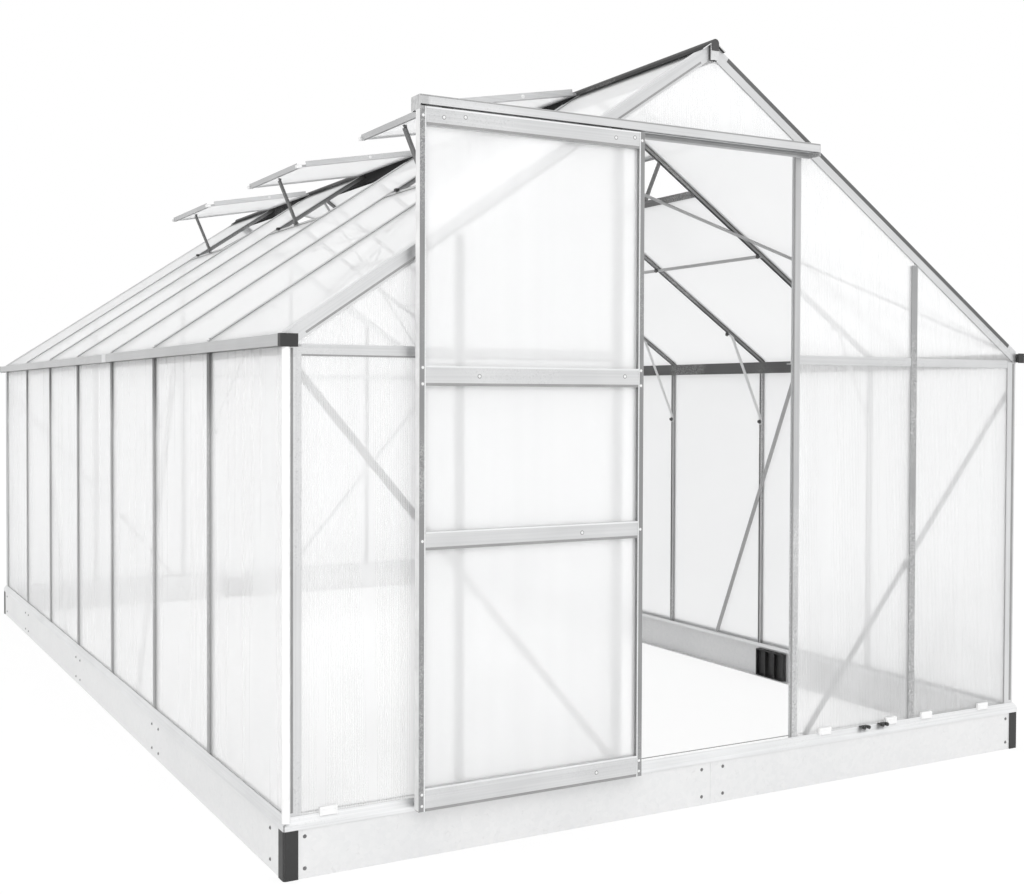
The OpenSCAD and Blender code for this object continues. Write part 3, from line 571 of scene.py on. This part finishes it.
def twin_wall(name, through, rough, clear=0.0, shade_share=0.0, bars=None):
    """Sheet that is looked through: rough glass with a share of milk and of plain clearness.

    shade_share is the share of a painted shade: darker towards the bottom, for the shadowed base
    and floor seen through, and on a gable darker on its right side. bars gives the first bar that
    crosses the sheet and their spacing, with a painted shade beside each bar.
    """
    bench, place, close = finish(name)
    ribs, across, height, gable = ribbed(bench, place)
    broad = bench.add(
        "ShaderNodeCombineXYZ", None, {0: across * 30, 1: height * 0.8, 2: gable * 7}
    )[0]
    streak = bench.noise(broad, 1.0, 0.0)
    # Painted shade: darker towards the bottom, and on a gable towards its right side below about
    # 1.1 m.
    low_shade = height.step(0.75, 0.1) * (0.5 + bench.noise(place, 9.0, 0.0))
    side_shade = across.step(0.25, 0.6) * gable * height.step(1.4, 1.1) * 0.45
    tone = 0.6 + 0.09 * ribs + (streak - 0.5) * 0.7
    colour = milk(bench, tone, 0.95)
    colour = bench.blend((low_shade + side_shade) * shade_share, colour, grey(SHEET_WHITE * 0.68, -0.003))
    if bars:
        first, spacing = bars
        along = across + (spacing / 2 - first)
        gap = along.math("FLOORED_MODULO", along, spacing) - spacing / 2
        # Painted shade beside each bar: the deep inner side of the bar seen through the sheet,
        # darker near the top.
        beside = gap.step(-0.05, -0.024) * gap.step(0.004, -0.004)
        depth = 0.35 + 0.55 * height.step(1.0, 1.2)
        colour = bench.blend(beside * depth, colour, grey(0.14))
    return close(
        {"Base Color": colour, "Roughness": rough + 0.1 * streak + 0.03 * ribs},
        height=ribs,
        bump=0.05,
        reach=0.0004,
        Transmission_Weight=through,
        IOR=1.2,
        Alpha=1.0 - clear,
    )


def lit_sheet(name, share, clear, apex=None):
    """Sheet that is mostly lit from behind: a share of its light comes through, scattered.

    With an apex, a painted shadow darkens the sheet where it slides under the fins of the ridge.
    """
    material = bpy.data.materials.new(name)
    material.use_nodes = True
    bench = Bench(material.node_tree)
    place = bench.add("ShaderNodeTexCoord")[3]
    ribs, _, height, _ = ribbed(bench, place)
    streak = bench.noise(place, 3.0, 0.0)
    tone = 0.6 + 0.16 * ribs + (streak - 0.5) * 0.6
    colour = milk(bench, tone, 0.96)
    if apex:
        # Painted shadow under the fins of the ridge.
        fin_shadow = height.step(apex - 0.056, apex - 0.034)
        colour = bench.blend(fin_shadow * 0.9, colour, grey(0.06))
    bump = bench.add(
        "ShaderNodeBump", None, {"Strength": 0.1, "Distance": 0.0004, "Height": ribs}
    )[0]
    skin = bench.add(
        "ShaderNodeBsdfPrincipled",
        None,
        {"Base Color": colour, "Roughness": 0.3 + 0.1 * streak, "Normal": bump,
         "Alpha": 1.0 - clear},
    )[0]
    glow = bench.add("ShaderNodeBsdfTranslucent", None, {"Color": colour, "Normal": bump})[0]
    bench.add(
        "ShaderNodeOutputMaterial",
        None,
        {0: bench.add("ShaderNodeMixShader", None, {0: share, 1: skin, 2: glow})[0]},
    )
    return material


wall_sheet = twin_wall("twin_wall_side", 0.5, 0.26, clear=0.4, shade_share=0.2, bars=(post_y[0], bay))
gable_sheet = twin_wall("twin_wall_gable", 0.55, 0.24, clear=0.45, shade_share=0.5)
door_sheet = twin_wall("twin_wall_door", 0.5, 0.33, clear=0.2, shade_share=0.1)
far_sheet = lit_sheet("twin_wall_far", 0.6, clear=0.5)
left_roof = lit_sheet("twin_wall_left_roof", 0.3, clear=0.55, apex=apex_z)
vent_sheet = lit_sheet("twin_wall_vent", 0.3, clear=0.55)
right_roof = lit_sheet("twin_wall_right_roof", 0.6, clear=0.65)
print("sheets ready")

# %% Put the finishes on the frame
dress = {
    "base_front": zinc_base, "base_back": zinc_base, "base_left": zinc_base,
    "base_right": zinc_base, "base_corners": black_plastic, "base_joiners": black_plastic,
    "front_sill": aluminium["sill"], "back_sill": aluminium["sill"],
    "side_sills": aluminium["side_sill"], "corner_posts": aluminium["corner"],
    "left_posts": aluminium["post"], "right_posts": aluminium["post"],
    "gable_posts": aluminium["gable_post"], "door_jambs": aluminium["jamb"],
    "gable_rails": aluminium["rail"], "left_gutter": aluminium["gutter"],
    "right_gutter": aluminium["gutter"], "gutter_caps": black_plastic,
    "downpipe": white_plastic, "ridge_bar": aluminium["ridge"], "ridge_cover": ridge_plastic,
    "gable_rafters": aluminium["gable_rafter"], "left_rafters": aluminium["rafter"],
    "right_rafters": aluminium["rafter"], "roof_purlins": zinc_strap,
    "wind_braces": zinc_strap, "gable_braces": zinc_gable, "knee_braces": zinc_brace,
    "left_wall_sheets": wall_sheet, "right_wall_sheets": far_sheet,
    "front_gable_sheets": gable_sheet, "back_gable_sheets": far_sheet,
    "left_roof_sheets": left_roof, "right_roof_sheets": right_roof,
    "vent_frames": aluminium["vent"], "vent_sheets": vent_sheet, "vent_stays": zinc_dark,
    "vent_sills": aluminium["gutter"], "door_track": aluminium["track"],
    "door_stops": black_plastic, "door_stiles": aluminium["door_stile"],
    "door_rails": aluminium["door_rail"], "door_sheets": door_sheet, "door_rollers": grey_nylon,
}
for node, material in dress.items():
    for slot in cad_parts[node].material_slots:
        slot.material = material
bare = sorted(set(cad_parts) - set(dress))
print("dressed nodes:", len(dress), "left bare:", bare)

# %% [markdown]
# ## Small parts on points
# A kit like this comes with bags of bolts, and every one looks the same. So the script only
# lists where each bolt sits and which way it points. Geometry Nodes then puts one small head
# on every point, turns it with Align Rotation to Vector and makes one mesh of them all.
# A head is a low cone on a wider, lower cone, which reads as a screw on its washer.

# %% A tree that sets heads on points
TOP_SHARE = 0.8


def head_tree():
    """The node group: a head and its washer on every point, turned to the point's aim."""
    tree = bpy.data.node_groups.new("heads_on_points", "GeometryNodeTree")
    io = tree.interface
    io.new_socket("Points", in_out="INPUT", socket_type="NodeSocketGeometry")
    io.new_socket("Sides", in_out="INPUT", socket_type="NodeSocketInt")
    for label in ("Washer Radius", "Washer Height", "Head Radius", "Head Height"):
        io.new_socket(label, in_out="INPUT", socket_type="NodeSocketFloat")
    io.new_socket("Finish", in_out="INPUT", socket_type="NodeSocketMaterial")
    io.new_socket("Heads", in_out="OUTPUT", socket_type="NodeSocketGeometry")
    bench = Bench(tree)
    points, sides, wide, low, narrow, tall, finish_in = bench.add("NodeGroupInput")[:7]
    cones = [
        bench.add(
            "GeometryNodeMeshCone",
            {"fill_type": "NGON"},
            {"Vertices": sides, "Radius Bottom": radius, "Radius Top": radius * TOP_SHARE,
             "Depth": depth},
        )[0]
        for radius, depth in ((wide, low), (narrow, tall))
    ]
    both = bench.add("GeometryNodeJoinGeometry")[0]
    for cone in cones:
        tree.links.new(cone.socket, both.socket.node.inputs[0])
    aim = bench.add(
        "GeometryNodeInputNamedAttribute", {"data_type": "FLOAT_VECTOR"}, {"Name": "aim"}
    )[0]
    turn = bench.add("FunctionNodeAlignRotationToVector", {"axis": "Z"}, {"Vector": aim})[0]
    copies = bench.add(
        "GeometryNodeInstanceOnPoints", None, {"Points": points, "Instance": both, "Rotation": turn}
    )[0]
    real = bench.add("GeometryNodeRealizeInstances", None, {"Geometry": copies})[0]
    out = bench.add("GeometryNodeSetMaterial", None, {"Geometry": real, "Material": finish_in})[0]
    bench.add("NodeGroupOutput", None, {0: out})
    return tree


heads = head_tree()
print("head tree:", len(heads.nodes), "nodes")


# %% A function that uses the tree
def set_heads(name, body, places, finish_of, sides, washer, head):
    """One mesh of heads. A place is a point and a direction, and washer and head are each a
    radius and a height."""
    mesh = bpy.data.meshes.new(name + "_points")
    mesh.from_pydata([tuple(p) for p, _ in places], [], [])
    aims = mesh.attributes.new("aim", "FLOAT_VECTOR", "POINT")
    aims.data.foreach_set("vector", [c for _, aim in places for c in aim])
    piece = bpy.data.objects.new(name, mesh)
    bpy.context.scene.collection.objects.link(piece)
    modifier = piece.modifiers.new("heads", "NODES")
    modifier.node_group = heads
    values = {"Sides": sides, "Washer Radius": washer[0], "Washer Height": washer[1],
              "Head Radius": head[0], "Head Height": head[1], "Finish": finish_of}
    for item in heads.interface.items_tree:
        if item.in_out == "INPUT" and item.name in values:
            modifier[item.identifier] = values[item.name]
    ready = piece.evaluated_get(bpy.context.evaluated_depsgraph_get())
    plain = bpy.data.meshes.new_from_object(ready)
    plain.name = name
    piece.modifiers.clear()
    piece.data = plain
    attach(piece, body)
    print(name, len(places), "heads,", len(plain.polygons), "faces")


# %% [markdown]
# ## Where the bolts sit
# The base has pairs of bolts beside each seam and each corner. Inside, a nut holds each strap
# and purlin to every bar it crosses. All places come from the boxes of the solids.

# %% Bolts of the base
world_axes = (Vector((1, 0, 0)), Vector((0, 1, 0)), Vector((0, 0, 1)))
along_x, along_y, up_z = world_axes
left, ahead = -along_x, -along_y
base_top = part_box("base_front")[1].z
low_row, high_row = 0.19 * base_top, 0.8 * base_top
corner_in, end_in, beside_seam = 0.051, 0.1, 0.04
base_bolts = []
for z in (low_row, high_row):
    for x in (-0.030, 0.044, -half_w + corner_in, half_w - corner_in):
        base_bolts.append((Vector((x, front_y, z)), ahead))
        base_bolts.append((Vector((-x, back_y, z)), -ahead))
    joints = [middle(b).y for b in solids_of("base_joiners") if b[1].x > half_w - 0.03]
    beside = [j + d for j in joints for d in (-beside_seam, beside_seam)]
    for y in [front_y + end_in, back_y - end_in] + beside:
        base_bolts.append((Vector((-half_w, y, z)), left))
        base_bolts.append((Vector((half_w, y, z)), -left))
set_heads("base_bolts", "house", base_bolts, zinc_dark, 10,
          (0.005, 0.0008), (0.0036, 0.0024))

# %% Nuts inside the frame
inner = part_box("left_posts")[1].x
strap = 0.002
nuts = []
for low, high in solids_of("knee_braces"):
    side = side_of((low, high))
    y = (low.y + high.y) / 2
    nuts.append((Vector((side * (-inner - strap), y, low.z + 0.012)), Vector((-side, 0, 0))))
    tip = Vector((low.x if side > 0 else high.x, y, high.z - 0.004))
    nuts.append((tip, mirrored(side, -roof_out)))
bar_depth = rafter_face - rafter_back
half_purlin = 0.0105
for box in solids_of("roof_purlins"):
    up = (half_w - abs(middle(box).x)) / math.cos(pitch) - half_purlin * math.tan(pitch)
    for y in post_y:
        nuts.append((on_slope(side_of(box), up, y, -bar_depth - strap),
                     mirrored(side_of(box), -roof_out)))
set_heads("frame_nuts", "house", nuts, zinc_nut, 6,
          (0.0095, 0.0012), (0.008, 0.0085))

# %% [markdown]
# ## Strips, seals and lips
# Long thin parts share one function: it sweeps a low rounded section along a straight line.
# With it come the dark strips on the corner bars and gable rafters, partly seals and partly
# painted shade along their edges, and a painted shade in the crease behind the front sill and
# under the left eave rail. It also makes the strips over the roof bars, the felt on the sides
# of the door, and the lips along the door's rails, pale above and dark below, the dark ones
# partly seals and partly painted shadow under each rail.

# %% Sweep a low rounded strip
STRIP_SECTION = [(-0.5, 0), (-0.5, 0.55), (-0.36, 1), (0.36, 1), (0.5, 0.55), (0.5, 0)]


def place_piece(name, mesh, body, material):
    """Turns a bmesh into a piece that rides on a body."""
    bmesh.ops.recalc_face_normals(mesh, faces=mesh.faces)
    data = bpy.data.meshes.new(name)
    mesh.to_mesh(data)
    mesh.free()
    data.materials.append(material)
    piece = bpy.data.objects.new(name, data)
    bpy.context.scene.collection.objects.link(piece)
    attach(piece, body)
    print(name, len(data.polygons), "faces")


def place_strips(name, runs, body, material):
    """Each run is start, end, the direction across, the direction out, width and height."""
    mesh = bmesh.new()
    for start, end, across, out, width, height in runs:
        first, last = (
            [mesh.verts.new(p + across * (u * width) + out * (v * height))
             for u, v in STRIP_SECTION]
            for p in (start, end)
        )
        for i in range(len(STRIP_SECTION)):
            j = (i + 1) % len(STRIP_SECTION)
            mesh.faces.new((first[i], first[j], last[j], last[i]))
        mesh.faces.new(first[::-1])
        mesh.faces.new(last)
    place_piece(name, mesh, body, material)


# %% Seals and painted shade on the corner bars
seal_w, seal_h = 0.0095, 0.0007
seal_in = 0.0105
seal_and_shade_strips = []
# Grey strips near the outer edges of each corner bar: partly seals, partly painted shade on the
# bar's edge.
for low, high in solids_of("corner_posts"):
    sx, sy = side_of((low, high)), side_of((low, high), 1)
    edge_x = low.x if sx < 0 else high.x
    edge_y = low.y if sy < 0 else high.y
    top = high.z - 0.004
    for x, y, across, out in (
        (edge_x - sx * seal_in, edge_y, along_x, along_y * sy),
        (edge_x, edge_y - sy * seal_in, along_y, along_x * sx),
    ):
        seal_and_shade_strips.append(
            (Vector((x, y, low.z + 0.03)), Vector((x, y, top)), across, out, seal_w, seal_h)
        )
# The dark strips on the gable rafters are partly seals and partly painted shade along the
# rafter's edge. Front left and back right, the strip is thin and sits deep. On the other two it
# is broad and sits near the top edge.
rafter_seal_and_shade = []
rafter_low, rafter_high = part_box("gable_rafters")
for side in (-1, 1):
    for y, out in ((rafter_low.y, -along_y), (rafter_high.y, along_y)):
        if side * out.y > 0:
            depth, width, runs = 0.028, 0.0055, seal_and_shade_strips
        else:
            depth, width, runs = 0.0065, 0.012, rafter_seal_and_shade
        runs.append(
            (on_slope(side, 0.05, y, -depth), on_slope(side, 1.44, y, -depth),
             mirrored(side, roof_out), out, width, seal_h)
        )
jamb_low, jamb_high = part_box("door_jambs")
for x in (jamb_low.x + 0.0265, jamb_high.x - 0.0225):
    seal_and_shade_strips.append(
        (Vector((x, jamb_low.y, 0.15)), Vector((x, jamb_low.y, jamb_high.z - 0.01)),
         along_x, ahead, 0.004, seal_h)
    )
sill_low, sill_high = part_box("front_sill")
sill_inside = sill_high.y - 0.0025
sill_end = half_w - 0.04
# Painted shade: a grey strip in the crease where the front sheet meets the top of the sill.
seal_and_shade_strips.append(
    (Vector((-sill_end, sill_inside, sill_high.z)), Vector((sill_end, sill_inside, sill_high.z)),
     ahead, up_z, 0.005, 0.0012)
)
sheet_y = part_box("front_gable_sheets")[0].y
rail_low, rail_high = solids_of("gable_rails")[1]
post_low, post_high = solids_of("gable_posts", 0)[0]
eave_fronts = []
for side in (-1, 1):
    for x0, x1 in ((half_w - 0.046, -post_low.x), (-post_high.x, jamb_high.x)):
        for z, width, height, runs in (
            ((rail_low.z + rail_high.z) / 2, rail_high.z - rail_low.z, 0.001, eave_fronts),
            (rail_low.z - 0.001, 0.004, 0.0014, seal_and_shade_strips),
        ):
            # Under the eave rail a grey strip goes on the left half only: a painted shadow under
            # the rail.
            if side < 0 or runs is eave_fronts:
                runs.append((Vector((side * x0, sheet_y, z)), Vector((side * x1, sheet_y, z)),
                             up_z, ahead, width, height))
place_strips("seal_and_shade_strips", seal_and_shade_strips, "house", seal_and_shade_grey)
place_strips("rafter_seal_and_shade", rafter_seal_and_shade, "house", seal_and_shade_dark)
place_strips("eave_fronts", eave_fronts, "house", pale_metal)

# %% Glazing strips over the roof bars
cover_strips = [
    (on_slope(side, 0.02, y + dy), on_slope(side, 1.4, y + dy), along_y,
     mirrored(side, roof_out), 0.0085, 0.0022)
    for side in (-1, 1) for y in post_y for dy in (-0.0075, 0.0075)
]
place_strips("roof_strips", cover_strips, "house", strip_metal)

# %% Lips and felt on the door
door_low, door_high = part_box("door_stiles")
door_mid = middle((door_low, door_high))
face = door_low.y
door_rails = solids_of("door_rails", 2)
pale_lips, rail_foot_seal_and_shade, felt = [], [], []
# Each rail gets a pale lip on top and a dark strip at its foot. The dark strip is partly a seal and
# partly painted shadow under the rail.
for low, high in door_rails:
    for z, width, runs in (
        (high.z - 0.0022, 0.0042, pale_lips),
        (low.z + 0.0035, 0.0068, rail_foot_seal_and_shade),
    ):
        runs.append(
            (Vector((low.x, face, z)), Vector((high.x, face, z)), up_z, ahead, width, 0.0009)
        )
felt_end = 0.002
for x, out in ((door_low.x, left), (door_high.x, -left)):
    for y in (door_mid.y - 0.0075, door_mid.y, door_mid.y + 0.0075):
        felt.append(
            (Vector((x, y, door_low.z + felt_end)), Vector((x, y, door_high.z - felt_end)),
             ahead, out, 0.0074, 0.0012)
        )
lip_in = 0.002
for low, high in solids_of("door_stiles", 0):
    x = high.x - lip_in if low.x < door_mid.x else low.x + lip_in
    pale_lips.append((Vector((x, face, door_low.z)), Vector((x, face, door_high.z)),
                      along_x, ahead, 0.0034, 0.0008))
place_strips("door_lips", pale_lips, "door", bright_lip)
place_strips("door_rail_seal_and_shade", rail_foot_seal_and_shade, "door", seal_and_shade_grey)
place_strips("door_felt", felt, "door", pale_felt)

# %% [markdown]
# ## Screws on the door and the track
# Each rail of the door has a few screws with broad flat heads, bright in the middle with a
# dark rim of shade. Two sets of heads make that: a dark one and, on top, a smaller pale one.
# Small ones hold the stiles to the rails, and a row of higher ones stands on the track.

# %% Door screws
foot_z, low_z, high_z, top_z = (middle(b).z for b in door_rails)
spots = [
    (door_low.x + 0.0645, top_z), (door_low.x + 0.1235, top_z + 0.006),
    (door_high.x - 0.0915, top_z), (door_high.x - 0.032, top_z + 0.006),
    (door_low.x + 0.1645, high_z), (door_high.x - 0.06, high_z + 0.004),
    (door_low.x + 0.4675, low_z), (door_low.x + 0.5155, foot_z),
]
stile_screw_in = 0.0085
for x in (door_low.x + stile_screw_in, door_high.x - stile_screw_in):
    for z in (foot_z - 0.014, foot_z + 0.014, low_z, high_z - 0.02, high_z + 0.02, top_z):
        spots.append((x, z))
door_screws = [(Vector((x, face, z)), ahead) for x, z in spots]
# The dark set is a painted shade rim around each screw head.
set_heads("door_screw_shade_rims", "door", door_screws, seal_and_shade_grey, 12,
          (0.0058, 0.0004), (0.005, 0.0005))
set_heads("door_screws", "door", door_screws, zinc_bolt, 12,
          (0.0044, 0.0007), (0.0034, 0.0009))
track_screws = [
    (Vector((track_low.x + dx, track_low.y + 0.013, track_high.z)), up_z)
    for dx in (0.031, 0.345, 0.597, 0.93, 1.24)
]
set_heads("track_screws", "house", track_screws, zinc_bolt, 10,
          (0.006, 0.0008), (0.0045, 0.0028))

# %% [markdown]
# ## Clips, sleeves and corner blocks
# White plastic clips hold the sheets down on the front sill. A sleeve covers the joint of each
# gutter, small pale blocks close the corners of the roof vents, and a worn plate closes each
# end of the track. They are small blocks with chamfered edges, made from a box that bmesh
# bevels.

# %% Chamfered blocks
def place_blocks(name, blocks, body, material, chamfer=0.0008):
    """Each block is a middle, three half sizes and three directions."""
    mesh = bmesh.new()
    for centre, half, axes in blocks:
        made = bmesh.ops.create_cube(mesh, size=2.0)["verts"]
        edges = list({e for v in made for e in v.link_edges})
        turn = Matrix([axis * h for axis, h in zip(axes, half)]).transposed()
        for v in made:
            v.co = centre + turn @ v.co
        bmesh.ops.bevel(mesh, geom=edges, offset=min(chamfer, 0.4 * min(half)), segments=2,
                        profile=0.6, affect="EDGES")
    place_piece(name, mesh, body, material)


clips = []
for x in (0.112, 1.678, 1.945, 2.096, 2.345):
    foot = Vector((x - half_w, sill_low.y + 0.0085, sill_high.z - 0.001))
    clips.append((foot + up_z * 0.005, (0.0225, 0.0045, 0.0105), world_axes))
    clips.append((foot + Vector((0, -0.004, 0.002)), (0.018, 0.0025, 0.006), world_axes))
place_blocks("sheet_clips", clips, "house", white_plastic)

# %% Sleeves on the gutters
thin_chamfer = 0.0004
gutter_low, gutter_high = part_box("left_gutter")
sleeves = []
for side in (-1, 1):
    centre = Vector((side * (-gutter_low.x + 0.0002), post_y[2], gutter_high.z - 0.014))
    sleeves.append((centre, (0.0007, 0.03, 0.0145), world_axes))
    for dy in (-0.02, 0.02):
        sleeves.append((centre + along_y * dy, (0.0008, 0.004, 0.01), world_axes))
place_blocks("gutter_sleeves", sleeves, "house", aluminium["sleeve"],
             thin_chamfer)

# %% Blocks and knobs of the vents
def solid_points(node):
    """The corner points of each solid of a node."""
    points = np.array([v.co[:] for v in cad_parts[node].data.vertices])
    play = 1e-5
    found = []
    for low, high in solids_of(node):
        inside = (points >= np.array(low) - play) & (points <= np.array(high) + play)
        found.append(np.unique(np.round(points[inside.all(axis=1)], 6), axis=0))
    return found


vent_blocks, vent_screws, side_covers, lower_covers = [], [], [], []
for points in solid_points("vent_sheets"):
    # The four corners nearest the ridge are the sheet's upper end
    order = np.argsort(np.abs(points[:, 0]))
    upper, lower = Vector(points[order[:4]].mean(0)), Vector(points[order[4:]].mean(0))
    down = (lower - upper).normalized()
    out = along_y.cross(down)
    out = out if out.z > 0 else -out
    rim = lower + down * 0.0045
    half_len = (points[:, 1].max() - points[:, 1].min()) / 2
    half_drop = (lower - upper).length / 2
    axes = (down, along_y, out)
    for way in (-along_y, along_y):
        edge = way * (half_len + 0.0035) + out * 0.006
        vent_blocks.append((rim + way * (half_len - 0.004), (0.010, 0.0075, 0.0055), axes))
        vent_screws.append((upper.lerp(lower, 0.4) + edge + way * 0.0012, way))
        side_covers.append((upper.lerp(lower, 0.5) + edge - down * 0.006,
                            (half_drop - 0.018, 0.0011, 0.0098), axes))
    lower_covers.append((rim + out * 0.003 + down * 0.0035,
                         (0.0011, half_len - 0.012, 0.0095), axes))
place_blocks("vent_corners", vent_blocks, "house", white_plastic)
place_blocks("vent_covers", side_covers, "house", pale_metal, thin_chamfer)
place_blocks("vent_edges", lower_covers, "house", aluminium["vent"],
             thin_chamfer)
set_heads("vent_screws", "house", vent_screws, zinc_bolt, 8,
          (0.0065, 0.0008), (0.0045, 0.0022))

# %% Sleeves on the stays and knobs on the sills
stay_sleeves, knobs = [], []
for low, high in solids_of("vent_stays"):
    outer, inner = (high.x, low.x) if side_of((low, high)) > 0 else (low.x, high.x)
    y = (low.y + high.y) / 2
    head, foot = Vector((outer, y, high.z)), Vector((inner, y, low.z))
    run = (head - foot).normalized()
    half_sizes = ((head - foot).length / 2 - 0.012, 0.0085, 0.004)
    stay_sleeves.append(((head + foot) / 2, half_sizes, (run, along_y, run.cross(along_y))))
for low, high in solids_of("vent_sills"):
    top = Vector(((low.x + high.x) / 2, high.y - 0.07, high.z + 0.002))
    knobs.append((top, (0.007, 0.009, 0.005), world_axes))
place_blocks("stay_sleeves", stay_sleeves, "house", zinc_dark, 0.002)
place_blocks("vent_knobs", knobs, "house", black_plastic, 0.003)

# %% Plates at the two peaks
ridge_low, ridge_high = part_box("ridge_bar")
half_plate = 0.0165
plates = [
    (Vector((0, y, ridge_low.z + half_plate)), (0.0135, 0.0008, half_plate), world_axes)
    for y in (ridge_low.y - 0.0007, ridge_high.y + 0.0007)
]
place_blocks("peak_plates", plates, "house", aluminium["sleeve"], thin_chamfer)

# %% Plates at the ends of the track
track_mid = (track_low + track_high) / 2
track_half = (track_high - track_low) / 2
end_plates = [
    (Vector((x, track_mid.y, track_mid.z)), (0.0012, track_half.y, track_half.z), world_axes)
    for x in (track_low.x - 0.0005, track_high.x + 0.0005)
]
place_blocks("track_cap", end_plates, "house", zinc_worn, 0.0016)
